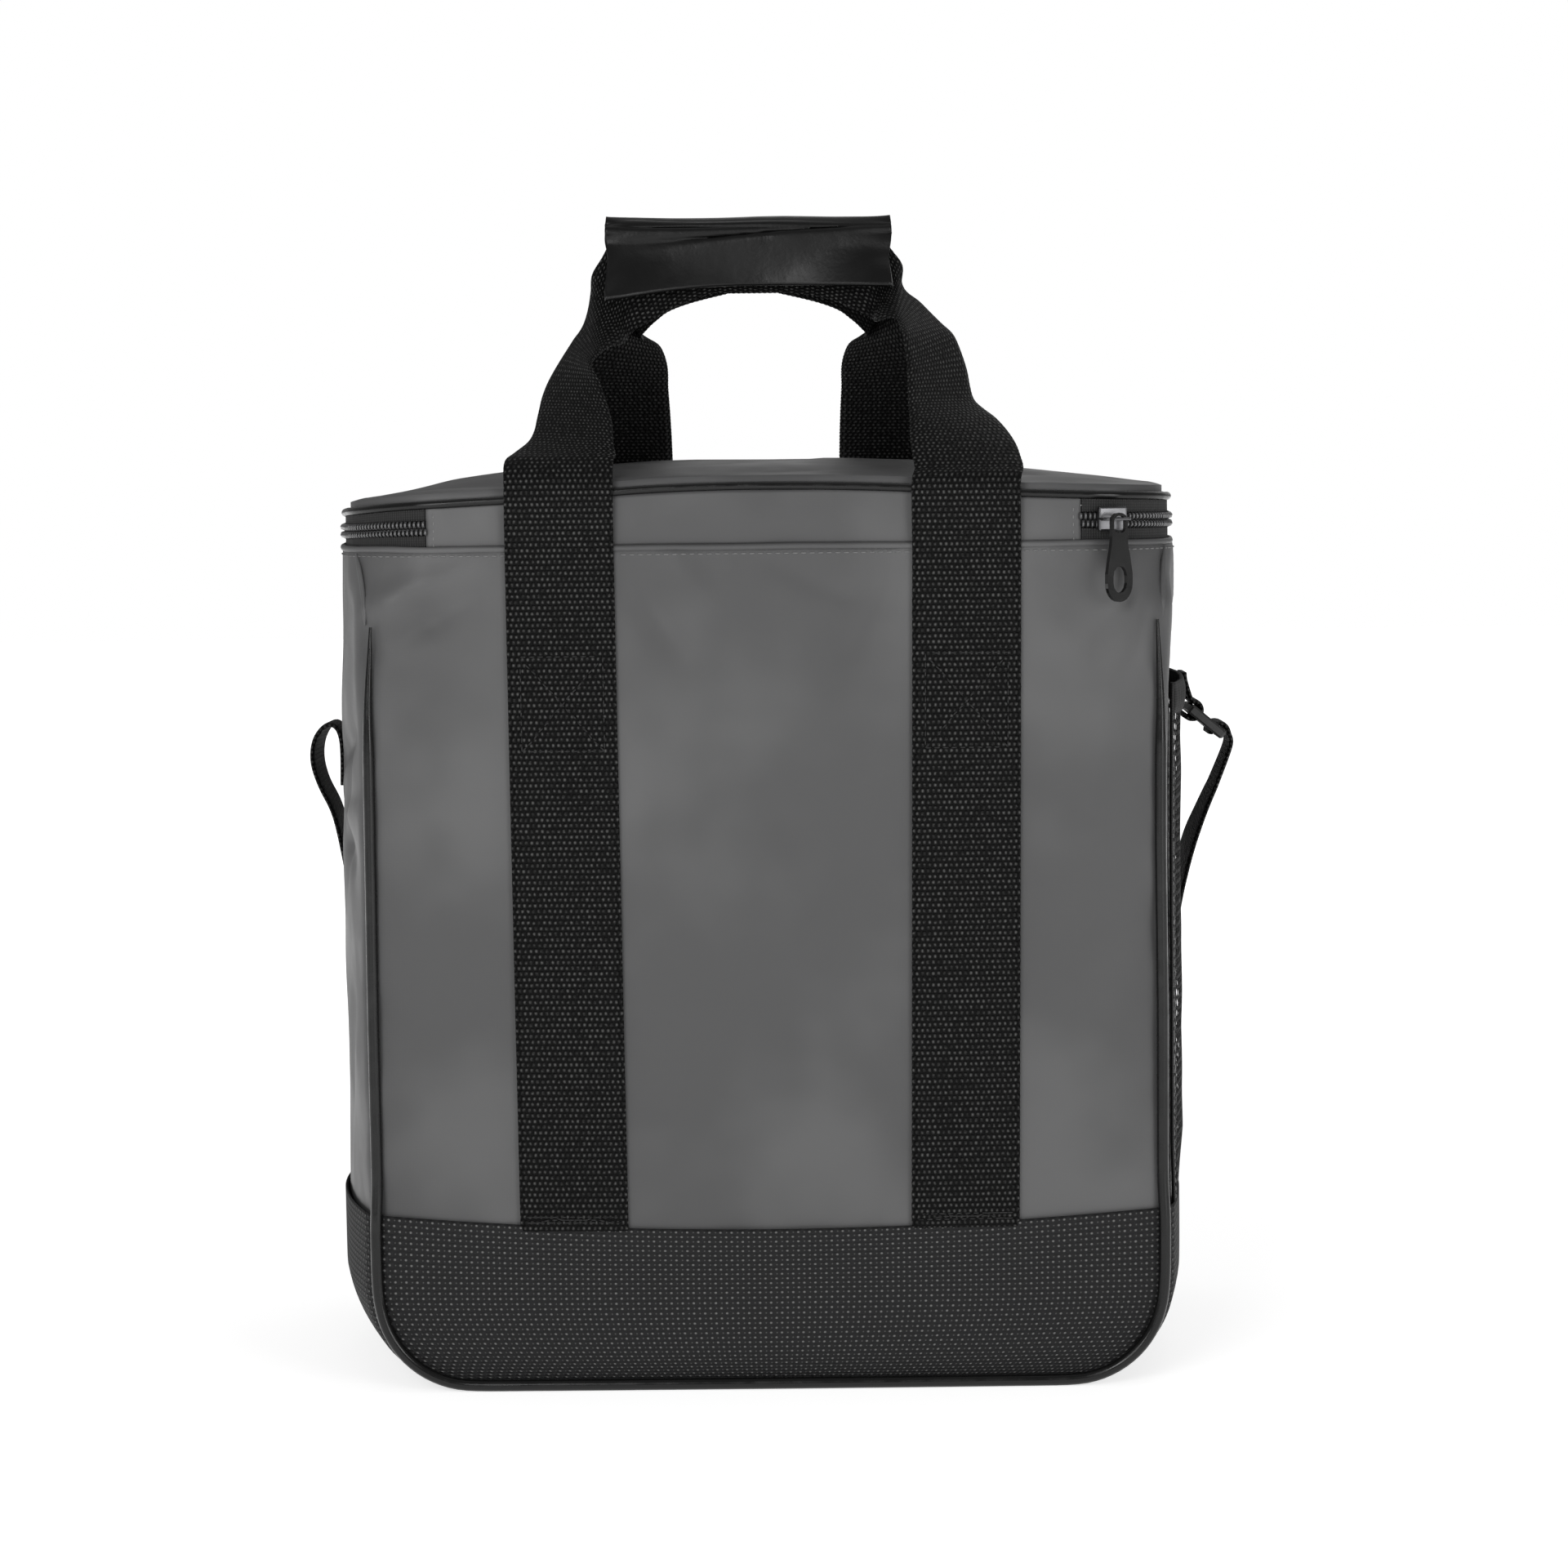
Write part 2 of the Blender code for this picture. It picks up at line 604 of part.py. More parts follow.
front_handle = handle(
    "front_handle_webbing", FRONT_LEFT_TURN, FRONT_RIGHT_TURN, -1, FRONT_SPACING, 0.0, FRONT_LEAN)
rear_handle = handle(
    "rear_handle_webbing", REAR_TURN, REAR_TURN, 1, REAR_SPACING, REAR_SHIFT, 0.0)

# Grip wrap: a saddle of vinyl over both straps, open below

GRIP_STATIONS = 8


def grip_section(along):
    """The wrap's section at a share of its half length: front lip, over the top, rear lip."""
    half = GRIP_DEPTH / 2
    flare = GRIP_FLARE * along ** 2
    left = max(-along, 0.0)
    lip = GRIP_LIP - GRIP_DROP * left ** 2
    height = GRIP_TOP - lip
    x = GRIP_MIDDLE + along * GRIP_LENGTH / 2
    skirt = [(half + flare, 0.0), (half + flare * 0.55, 0.28), (half + flare * 0.12, 0.55)]
    front = [(-reach, lip + height * rise) for reach, rise in skirt]
    arch = [(-half * math.cos(math.radians(a)), GRIP_TOP - half + half * math.sin(math.radians(a)))
            for a in (0, 30, 60, 90, 120, 150, 180)]
    rear = [(-y, z) for y, z in reversed(front)]
    return [Vector((x, y, z)) for y, z in front + arch + rear]


grip_rings = [grip_section(-1 + 2 * step / GRIP_STATIONS) for step in range(GRIP_STATIONS + 1)]
grip_mesh, _ = loft(grip_rings, False)
grip_wrap = add_object("grip_wrap", grip_mesh, WRAP_VINYL)
solidify(grip_wrap, GRIP_VINYL, -1)
shade(grip_wrap)

# Zip slider: a plate on the chain with a bridge, round which the pull tab hangs


def box(name, size, place, finish, home=parts):
    bpy.ops.mesh.primitive_cube_add(size=1.0)
    made = bpy.context.active_object
    made.name = name
    made.data.name = name
    made.data.transform(
        Matrix.Translation(place) @ Matrix.Diagonal((*size, 1.0)))
    made.data.materials.append(finish)
    for owner in list(made.users_collection):
        owner.objects.unlink(made)
    home.objects.link(made)
    return made


def bevel(target, width, segments=2):
    edge = target.modifiers.new("edge", "BEVEL")
    edge.width = width
    edge.segments = segments


def combine(target, other, operation):
    """Cuts or joins another solid with a target that keeps its name."""
    step = target.modifiers.new(operation.lower(), "BOOLEAN")
    step.operation = operation
    step.solver = "EXACT"
    step.object = other
    for owner in list(other.users_collection):
        owner.objects.unlink(other)
    cutters.objects.link(other)
    other.hide_render = True
    other.display_type = "WIRE"


slider_angle = math.radians(SLIDER_TURN)
slider_out = Vector((math.sin(slider_angle), -math.cos(slider_angle), 0.0))
hem_corner = Vector((seam_x(HEIGHT, 1) - HEM_RADIUS, -(DEPTH / 2 - HEM_RADIUS), 0.0))
CHAIN_PROUD = CHAIN_DEPTH * 0.4
SLIDER_CLEAR = 0.0010                  # room over the chain, which bends round the corner
slider_seat = hem_corner + slider_out * (HEM_RADIUS - ZIP_INSET + CHAIN_PROUD + SLIDER_CLEAR)
slider_seat.z = CHAIN_LOW + CHAIN_HEIGHT / 2
slider_frame = Matrix.Translation(slider_seat) @ Matrix.Rotation(slider_angle, 4, "Z")

zip_slider = box("zip_slider", (SLIDER_LENGTH, SLIDER_PLATE, SLIDER_HEIGHT),
                 (0, -SLIDER_PLATE / 2, 0), GUNMETAL)
bevel(zip_slider, SLIDER_PLATE / 4)
POST = SLIDER_LENGTH / 2 - BRIDGE_WIRE * 0.55
BRIDGE_BEND = 0.0022                   # radius of its two corners
bridge_points = [(-POST, -SLIDER_PLATE * 0.6, 0), (-POST, -SLIDER_PLATE - BRIDGE_REACH * 0.72, 0)]
bridge_points += [(-POST + BRIDGE_BEND * 0.3, -SLIDER_PLATE - BRIDGE_REACH * 0.93, 0),
                  (-POST + BRIDGE_BEND * 0.6, -SLIDER_PLATE - BRIDGE_REACH, 0)]
bridge_points += [(-x, y, z) for x, y, z in reversed(bridge_points)]
bridge_curve = tube("slider_bridge", bridge_points, BRIDGE_WIRE / 2, GUNMETAL)
depsgraph = bpy.context.evaluated_depsgraph_get()
bridge_mesh = bpy.data.meshes.new_from_object(bridge_curve.evaluated_get(depsgraph))
bridge_work = bmesh.new()
bridge_work.from_mesh(bridge_mesh)
bmesh.ops.remove_doubles(bridge_work, verts=bridge_work.verts, dist=0.00001)
bmesh.ops.recalc_face_normals(bridge_work, faces=bridge_work.faces)
bridge_work.to_mesh(bridge_mesh)
bridge_work.free()
slider_bridge = bpy_objects.new("slider_bridge_wire", bridge_mesh)
cutters.objects.link(slider_bridge)
bpy_objects.remove(bridge_curve, do_unlink=True)
combine(zip_slider, slider_bridge, "UNION")
zip_slider.matrix_world = slider_frame
slider_bridge.matrix_world = slider_frame

# Pull tab: a flat paddle with an eye at its top and an oval hole, its origin on the bar

TAB_TOP = BRIDGE_WIRE / 2 + 2 * GAP + TAB_RIM
TAB_FOOT = TAB_LENGTH - TAB_TOP
NECK = TAB_EYE / 2 + TAB_RIM
EYE_DEPTH = 0.0050
HOLE_WIDTH = 0.0070
HOLE_LENGTH = 0.0094
HOLE_RISE = 0.0078                     # middle of the hole over the foot of the tab


def arc(centre_x, centre_y, radius_x, radius_y, start, stop, steps):
    return [(centre_x + radius_x * math.cos(math.radians(start + (stop - start) * i / steps)),
             centre_y + radius_y * math.sin(math.radians(start + (stop - start) * i / steps)))
            for i in range(steps + 1)]


half_tab = TAB_WIDTH / 2
tab_outline = arc(0, -TAB_FOOT + half_tab, half_tab, half_tab, 180, 360, 12)
tab_outline += [(half_tab, -TAB_FOOT * 0.66), (half_tab * 0.84, -TAB_FOOT * 0.48)]
tab_outline += [(half_tab * 0.66, -TAB_FOOT * 0.32)]
tab_outline += [(NECK, -EYE_DEPTH * 1.2)] + arc(0, TAB_TOP - NECK * 0.7, NECK, NECK * 0.7, 0, 180, 8)
tab_outline += [(-NECK, -EYE_DEPTH * 1.2), (-half_tab * 0.66, -TAB_FOOT * 0.32)]
tab_outline += [(-half_tab * 0.84, -TAB_FOOT * 0.48), (-half_tab, -TAB_FOOT * 0.66)]
eye_top = TAB_TOP - TAB_RIM
eye = arc(0, eye_top - TAB_EYE * 0.3, TAB_EYE / 2, TAB_EYE * 0.3, 0, 180, 6)
eye += arc(0, -EYE_DEPTH + TAB_EYE * 0.3, TAB_EYE / 2, TAB_EYE * 0.3, 180, 360, 6)
round_end = (HOLE_LENGTH - HOLE_WIDTH) / 2
hole_y = -TAB_FOOT + HOLE_RISE
oval = arc(0, hole_y + round_end, HOLE_WIDTH / 2, HOLE_WIDTH / 2, 0, 180, 6)
oval += arc(0, hole_y - round_end, HOLE_WIDTH / 2, HOLE_WIDTH / 2, 180, 360, 6)

tab_curve = bpy.data.curves.new("pull_tab", "CURVE")
tab_curve.dimensions = "2D"
tab_curve.fill_mode = "BOTH"
tab_curve.extrude = TAB_PLATE / 2
for outline in (tab_outline, eye, oval):
    ring = tab_curve.splines.new("POLY")
    ring.points.add(len(outline) - 1)
    for slot, (x, y) in zip(ring.points, outline):
        slot.co = (x, y, 0.0, 1.0)
    ring.use_cyclic_u = True
tab_curve.materials.append(BLACK_GLOSS)
pull_tab = bpy_objects.new("pull_tab", tab_curve)
parts.objects.link(pull_tab)
bar_place = slider_frame @ Vector((0, -SLIDER_PLATE - BRIDGE_REACH, 0))
pull_tab.location = bar_place
pull_tab.rotation_euler = (math.radians(90), 0.0, slider_angle + math.radians(TAB_TURN))

# Net pocket on the right gusset with the binding along its mouth

POCKET_FOOT = BOOT_HEIGHT + GAP


def pocket_sheet(heights, extra, columns=14):
    """Plan rows of a sheet bowed off the right gusset; extra moves it further out."""
    rings = []
    half = DEPTH / 2 * POCKET_REACH
    for z in heights:
        slack = POCKET_SLACK * min((z - POCKET_FOOT) / POCKET_CLOSE, 1.0)
        ring = []
        for step in range(columns + 1):
            share = -1 + 2 * step / columns
            bow = (1 - abs(share) ** 2.5) * slack
            x = side_x(half * share, z, 1) + GAP + bow + extra
            ring.append(Vector((x, half * share, z)))
        rings.append(ring)
    return rings


def pocket_piece(name, heights, extra, thickness, finish):
    work, _ = loft(pocket_sheet(heights, extra), False)
    made = add_object(name, work, finish)
    if made.data.polygons[0].normal.x < 0:
        made.data.flip_normals()
    solidify(made, thickness, 1)
    return made


upper_heights = [HEIGHT * share for share in WALL_SHARES
                 if POCKET_FOOT + POCKET_CLOSE < HEIGHT * share < POCKET_TOP]
pocket_heights = [POCKET_FOOT, POCKET_FOOT + POCKET_CLOSE] + upper_heights + [POCKET_TOP]
mesh_pocket = pocket_piece("mesh_pocket", pocket_heights, 0.0, POCKET_NET, NET_CLOTH)
binding_heights = [POCKET_TOP - BINDING_HEIGHT, POCKET_TOP - BINDING_HEIGHT / 5, POCKET_TOP]
pocket_binding = pocket_piece(
    "pocket_binding", binding_heights, POCKET_NET + 2 * GAP, BINDING_CLOTH, ZIP_CLOTH)

# Strap adjuster: a triglide on the right side, seen edge on from the front

ADJUSTER_TILT = 40.0                   # its outer end points down
adjuster_tilt = math.radians(ADJUSTER_TILT)
adjuster_run = Vector((math.cos(adjuster_tilt), 0.0, -math.sin(adjuster_tilt)))
pocket_out = side_x(0.0, POCKET_TOP, 1) + POCKET_SLACK + POCKET_NET + BINDING_CLOTH + 3 * GAP
STRAP_LINE = 0.010                     # middle of the strap along Y
ADJUSTER_STAND = 0.0030                # its inner end off the binding, and down from the mouth
ADJUSTER_DROP = 0.0135
adjuster_start = Vector((pocket_out + ADJUSTER_STAND, STRAP_LINE, POCKET_TOP - ADJUSTER_DROP))
adjuster_middle = adjuster_start + adjuster_run * ADJUSTER_LENGTH / 2
adjuster_frame = Matrix.Translation(adjuster_middle) @ Matrix.Rotation(adjuster_tilt, 4, "Y")
slot_length = (ADJUSTER_LENGTH - 3 * ADJUSTER_BAR) / 2
slot_width = STRAP_WIDTH + 4 * GAP

strap_adjuster = box("strap_adjuster", (ADJUSTER_LENGTH, ADJUSTER_WIDTH, ADJUSTER_PLATE),
                     (0, 0, 0), BLACK_PLASTIC)
strap_adjuster.matrix_world = adjuster_frame
for sign in (-1, 1):
    slot = box("adjuster_slot", (slot_length, slot_width, ADJUSTER_PLATE * 3),
               (sign * (ADJUSTER_BAR + slot_length) / 2, 0, 0), BLACK_PLASTIC, cutters)
    slot.matrix_world = adjuster_frame
    combine(strap_adjuster, slot, "DIFFERENCE")
bevel(strap_adjuster, ADJUSTER_PLATE / 5, 1)


def bar_centre(index):
    """The middle of one of the adjuster's three bars, counted from the bag outward."""
    pitch = ADJUSTER_BAR + slot_length
    return adjuster_middle + adjuster_run * pitch * (index - 1)


BAR_ROOM = 0.0010                      # between a bar and the webbing round it


def around_bar(centre, start, stop, steps):
    """Points round a bar in the X-Z plane, at the middle of the webbing's thickness."""
    radius = ADJUSTER_BAR / 2 + STRAP_CLOTH / 2 + BAR_ROOM
    points = []
    for i in range(steps + 1):
        angle = math.radians(start + (stop - start) * i / steps)
        points.append(centre + radius * Vector((math.cos(angle), 0.0, math.sin(angle))))
    return points


def strap_edges(points, yaw=90.0, pitch=0.0):
    return [edge_pair(Vector(point), STRAP_WIDTH, yaw, pitch) for point in points]


tab_seat = pocket_out + STRAP_CLOTH / 2 + GAP
TAB_SEAM = 0.0030                      # stitched end of the tab, flat on the binding
tab_points = [(tab_seat, STRAP_LINE, POCKET_TOP - 2 * GAP),
              (tab_seat + GAP, STRAP_LINE, POCKET_TOP - 2 * GAP - TAB_SEAM)]
tab_points += around_bar(bar_centre(0), 95, -150, 9)
strap_tab = webbing("strap_tab", strap_edges(tab_points), STRAP_CLOTH, across=1)

# Shoulder strap: from the left gusset out in a small loop, down and round the back of the bag,
# and up on the right side to the adjuster. side: share of the bag's half width over the gussets;
# back: share of DEPTH / 2; up: share of HEIGHT; yaw and pitch turn the width of the strap
STRAP_ROWS_LEFT = [
    # side, back, up, yaw, pitch
    (-1.0010, 0.135, 0.700, 90, 0),
    (-1.0010, 0.135, 0.750, 90, 0),
    (-1.0130, 0.135, 0.772, 90, 0),
    (-1.0355, 0.135, 0.775, 88, 0),
    (-1.0605, 0.140, 0.757, 86, 0),
    (-1.0670, 0.150, 0.730, 86, 2),
    (-1.0540, 0.180, 0.700, 88, 4),
    (-1.0290, 0.260, 0.664, 90, 10),
    (-1.0130, 0.400, 0.606, 90, 24),
    (-1.0040, 0.620, 0.532, 90, 40),
    (-0.9970, 0.880, 0.455, 78, 50),
    (-0.8980, 1.105, 0.385, 45, 55),
    (-0.7000, 1.150, 0.300, 6, 58),
    (-0.3800, 1.155, 0.212, 0, 75),
    (0.0000, 1.155, 0.182, 0, 90),
]
STRAP_ROWS_RIGHT = [
    # side, back, up, yaw, pitch
    (0.3800, 1.155, 0.212, 0, 105),
    (0.7000, 1.150, 0.300, -6, 122),
    (0.8980, 1.105, 0.385, -45, 125),
    (0.9935, 0.880, 0.455, -78, 130),
    (0.9970, 0.620, 0.532, -90, 140),
    (1.0127, 0.400, 0.600, -90, 156),
    (1.0370, 0.250, 0.650, -90, 170),
    (1.0645, 0.170, 0.690, -90, 176),
]
HALF_OUT = WIDTH / 2 + SIDE_BULGE_LEFT
strap_path = []
for side_share, back, up, yaw, pitch in spline(STRAP_ROWS_LEFT + STRAP_ROWS_RIGHT, 3):
    centre = Vector((side_share * HALF_OUT, back * DEPTH / 2, up * HEIGHT))
    strap_path.append(edge_pair(centre, STRAP_WIDTH, yaw, pitch))
outer_turn = around_bar(bar_centre(2), -10, 190, 8)
strap_lead = outer_turn[0] + Vector((0.0008, 0.0, -0.0040))
strap_path += strap_edges([strap_lead] + outer_turn)
shoulder_strap = webbing("shoulder_strap", strap_path, STRAP_CLOTH, across=1)
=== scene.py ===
"""The looks of a grey insulated cooler bag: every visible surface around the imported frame."""
import json
import math
from contextlib import contextmanager

import bmesh
import bpy
import numpy as np
from mathutils import Matrix, Vector, noise

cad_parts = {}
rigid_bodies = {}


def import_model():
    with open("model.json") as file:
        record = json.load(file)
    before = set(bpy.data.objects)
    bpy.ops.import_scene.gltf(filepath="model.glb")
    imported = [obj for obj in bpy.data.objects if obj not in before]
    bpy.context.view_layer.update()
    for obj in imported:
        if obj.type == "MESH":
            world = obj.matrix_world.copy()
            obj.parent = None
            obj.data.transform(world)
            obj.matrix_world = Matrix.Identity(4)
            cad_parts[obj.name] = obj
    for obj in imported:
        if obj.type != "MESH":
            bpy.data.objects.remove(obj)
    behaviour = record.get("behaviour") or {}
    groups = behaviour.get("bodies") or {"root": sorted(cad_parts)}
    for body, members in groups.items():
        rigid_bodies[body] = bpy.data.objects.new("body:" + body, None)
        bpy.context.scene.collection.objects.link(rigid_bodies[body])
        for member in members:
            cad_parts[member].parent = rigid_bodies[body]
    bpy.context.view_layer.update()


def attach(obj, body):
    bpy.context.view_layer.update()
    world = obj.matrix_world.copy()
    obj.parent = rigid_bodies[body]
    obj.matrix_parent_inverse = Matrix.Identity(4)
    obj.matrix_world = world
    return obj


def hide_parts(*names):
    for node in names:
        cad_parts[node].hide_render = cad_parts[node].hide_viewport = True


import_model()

# Sizes that the looks share with the frame, in metres
WIDTH = 0.283
DEPTH = 0.178
HEIGHT = 0.297
WALL = 0.005
FOLD_DEPTH = 1.7                       # times the depth in the tables of folds
FOOT_RADIUS = 0.035
SIDE_BULGE_LEFT = 0.0155
SIDE_BULGE_RIGHT = 0.0080
BELLY = 0.007
SEAM_RADIUS = 0.006
HEM_RADIUS = 0.028
GAP = 0.0003
BOOT_CLOTH = 0.0012
BOOT_HEIGHT = 0.057
PIPING_RADIUS = 0.0016
PIPING_TOP = 0.270
SEAM_CORD = PIPING_RADIUS * 1.30       # as seen, with its cloth cover
LID_CORD = PIPING_RADIUS * 0.90
WELT_RADIUS = 0.0009
ZIP_INSET = 0.0015
TAPE_CLOTH = 0.0010
TAPE_HEIGHT = 0.0050
CHAIN_HEIGHT = 0.0052
HINGE_CLOTH = 0.0015
HINGE_FROM = -0.1175
HINGE_TO = 0.1110
LID_EDGE = 0.0046
LID_CROWN = 0.0075
WEB_WIDTH = 0.038
WEB_CLOTH = 0.0018
FRONT_STRAPS = (-0.070, 0.070)          # where the handles run up the panels
REAR_STRAPS = (-0.0543, 0.0483)
STRAP_WIDTH = 0.025
STRAP_CLOTH = 0.0018
# Stitches: pitch, sewn share of the pitch, thread radius
STRAP_STITCH = (0.0030, 0.72, 0.00026)
HINGE_STITCH = (0.0026, 0.62, 0.00026)
HEM_STITCH = (0.0030, 0.66, 0.00024)
WRAP_STITCH = (0.0027, 0.68, 0.00030)
NET_STITCH = (0.0028, 0.66, 0.00026)
# Net pocket
POCKET_SLACK = 0.0055
POCKET_RISE = 0.8317
POCKET_TOP = HEIGHT * POCKET_RISE
POCKET_REACH = 0.86
POCKET_CLOSE = 0.025
POCKET_PRESS = 0.0035
POCKET_FADE = 0.029
POCKET_ROOM = 0.018                    # half width of the stretch that stays flat behind the net
POCKET_EASE = 0.012
POCKET_FILL = 0.86                     # share of the net's slack that the cloth takes up
FLOOR_LIFT = BOOT_CLOTH + GAP
TAPE_LOW = HEIGHT + GAP
CHAIN_LOW = TAPE_LOW + TAPE_HEIGHT + GAP
TAPE_HIGH = CHAIN_LOW + CHAIN_HEIGHT + GAP
LID_BASE = TAPE_HIGH + TAPE_HEIGHT + GAP
LID_TOP = LID_BASE + LID_EDGE

# Camera, floor and light

CAMERA_PLACE = Vector((0.0065, -1.625, 0.333))
CAMERA_TARGET = Vector((0.0065, -0.089, 0.2136))
CAMERA_ROLL = -0.60                    # degrees
LENS = 101.0
LIGHT_TARGET = (0.0, 0.0, 0.2)
KEY_POWER = 16.5                       # watts
FILL_POWER = 11.5
TOP_POWER = 2.0
REAR_POWER = 4.0
SKY_LIGHT = 0.24                       # what the surroundings give
FLOOR_NEAR = 0.35                      # metres from the middle of the bag
FLOOR_FAR = 1.30
FLOOR_GLOW = 0.70                      # a light table under the bag
SKY_SEEN = 1.0                         # what the camera sees of them


def aim(thing, target):
    thing.rotation_euler = (target - thing.location).to_track_quat("-Z", "Y").to_euler()


camera_data = bpy.data.cameras.new("photo_camera")
camera_data.lens = LENS
camera_data.sensor_width = 36.0
camera_data.clip_end = 20.0
camera = bpy.data.objects.new("photo_camera", camera_data)
bpy.context.scene.collection.objects.link(camera)
camera.location = CAMERA_PLACE
look = (CAMERA_TARGET - CAMERA_PLACE).to_track_quat("-Z", "Y").to_matrix()
camera.rotation_euler = (look @ Matrix.Rotation(math.radians(CAMERA_ROLL), 3, "Z")).to_euler()
bpy.context.scene.camera = camera


def area_light(name, place, size, power):
    data = bpy.data.lights.new(name, "AREA")
    data.shape = "RECTANGLE"
    data.size = size
    data.size_y = size
    data.energy = power
    lamp = bpy.data.objects.new(name, data)
    bpy.context.scene.collection.objects.link(lamp)
    lamp.location = place
    aim(lamp, Vector(LIGHT_TARGET))


area_light("key_softbox", (-0.75, -2.0, 0.95), 0.9, KEY_POWER)
area_light("fill_softbox", (1.25, -1.7, 0.6), 0.9, FILL_POWER)
area_light("top_softbox", (0.1, 0.3, 1.9), 1.4, TOP_POWER)
area_light("rear_softbox", (0.6, 1.7, 1.2), 1.6, REAR_POWER)
world = bpy.data.worlds.new("studio")
bpy.context.scene.world = world
world.use_nodes = True
world.node_tree.nodes["Background"].inputs["Color"].default_value = (1.0, 1.0, 1.0, 1.0)
sky_share = world.node_tree.nodes.new("ShaderNodeMapRange")
sky_share.inputs["To Min"].default_value = SKY_LIGHT
sky_share.inputs["To Max"].default_value = SKY_SEEN
sky_rays = world.node_tree.nodes.new("ShaderNodeLightPath")
world.node_tree.links.new(sky_rays.outputs["Is Camera Ray"], sky_share.inputs["Value"])
world.node_tree.links.new(sky_share.outputs["Result"],
                          world.node_tree.nodes["Background"].inputs["Strength"])
bpy.context.scene.view_settings.view_transform = "Standard"

# Shader helpers


class Shader:
    """A Principled material with short calls for its nodes."""

    def __init__(self, name, colour, roughness, metallic=0.0):
        self.material = bpy.data.materials.new(name)
        self.material.use_nodes = True
        self.tree = self.material.node_tree
        self.base = self.tree.nodes["Principled BSDF"]
        self.base.inputs["Base Color"].default_value = (*colour, 1.0)
        self.base.inputs["Roughness"].default_value = roughness
        self.base.inputs["Metallic"].default_value = metallic

    def link(self, source, target):
        self.tree.links.new(source, target)

    def math(self, operation, a, b=None):
        made = self.tree.nodes.new("ShaderNodeMath")
        made.operation = operation
        for slot, value in enumerate((a, b)):
            if value is None:
                continue
            if isinstance(value, (int, float)):
                made.inputs[slot].default_value = value
            else:
                self.link(value, made.inputs[slot])
        return made.outputs[0]

    def uv(self):
        """The piece's own map, in metres across and along the cloth."""
        split = self.tree.nodes.new("ShaderNodeSeparateXYZ")
        source = self.tree.nodes.new("ShaderNodeUVMap")
        source.uv_map = "cloth"
        self.link(source.outputs["UV"], split.inputs[0])
        return split.outputs["X"], split.outputs["Y"]

    def place(self):
        return self.tree.nodes.new("ShaderNodeTexCoord").outputs["Object"]

    def noise(self, scale, detail=2.0, roughness=0.5):
        made = self.tree.nodes.new("ShaderNodeTexNoise")
        made.inputs["Scale"].default_value = scale
        made.inputs["Detail"].default_value = detail
        made.inputs["Roughness"].default_value = roughness
        self.link(self.place(), made.inputs["Vector"])
        return made.outputs["Fac"]

    def ramp(self, factor, low, high, from_low=0.0, from_high=1.0):
        """A smooth step of a value from one number to another."""
        made = self.tree.nodes.new("ShaderNodeMapRange")
        made.interpolation_type = "SMOOTHSTEP"
        for key, value in (("From Min", from_low), ("From Max", from_high),
                           ("To Min", low), ("To Max", high)):
            made.inputs[key].default_value = value
        self.link(factor, made.inputs["Value"])
        return made.outputs["Result"]

    def mix(self, factor, dark, light):
        """Two colours mixed by a value, into the base colour."""
        made = self.tree.nodes.new("ShaderNodeMix")
        made.data_type = "RGBA"
        made.inputs[6].default_value = (*dark, 1.0)
        made.inputs[7].default_value = (*light, 1.0)
        self.link(factor, made.inputs[0])
        return made.outputs[2]

    def colour(self, socket):
        self.link(socket, self.base.inputs["Base Color"])

    def rough(self, socket):
        self.link(socket, self.base.inputs["Roughness"])

    def bump(self, height, distance, strength=1.0, after=None):
        made = self.tree.nodes.new("ShaderNodeBump")
        made.inputs["Strength"].default_value = strength
        made.inputs["Distance"].default_value = distance
        self.link(height, made.inputs["Height"])
        if after is not None:
            self.link(after, made.inputs["Normal"])
        self.link(made.outputs["Normal"], self.base.inputs["Normal"])
        return made.outputs["Normal"]

    def ripple(self, value, pitch, phase=0.0):
        """A wave of 0 to 1 with its pitch in metres."""
        turned = self.math("ADD", self.math("MULTIPLY", value, 2 * math.pi / pitch), phase)
        return self.math("ADD", self.math("MULTIPLY", self.math("SINE", turned), 0.5), 0.5)


# Materials


def grey_cloth_material():
    """Coated nylon: a soft satin with a very fine weave, faint clouds of painted sheen and shade, and small
    creases.
    """
    s = Shader("grey_cloth", (0.108, 0.108, 0.109), 0.5)
    # Painted sheen and shade: large soft clouds in the base colour give lighter and darker blotches in
    # place of the cloth's broad sheen and local shading.
    cloud = s.noise(9.0, 3.0, 0.55)
    s.colour(s.mix(s.ramp(cloud, 0.0, 1.0, 0.40, 0.62), (0.073, 0.073, 0.074), (0.104, 0.104, 0.105)))
    s.rough(s.ramp(s.noise(35.0, 2.0), 0.42, 0.54, 0.3, 0.7))
    u, v = s.uv()
    fine = s.math("MULTIPLY", s.ripple(u, 0.00055), s.ripple(v, 0.00055))
    normal = s.bump(fine, 0.00003, 0.35)
    crease = s.noise(60.0, 4.0, 0.6)
    s.bump(crease, 0.0008, 0.30, normal)
    s.base.inputs["Specular IOR Level"].default_value = 0.30
    return s.material


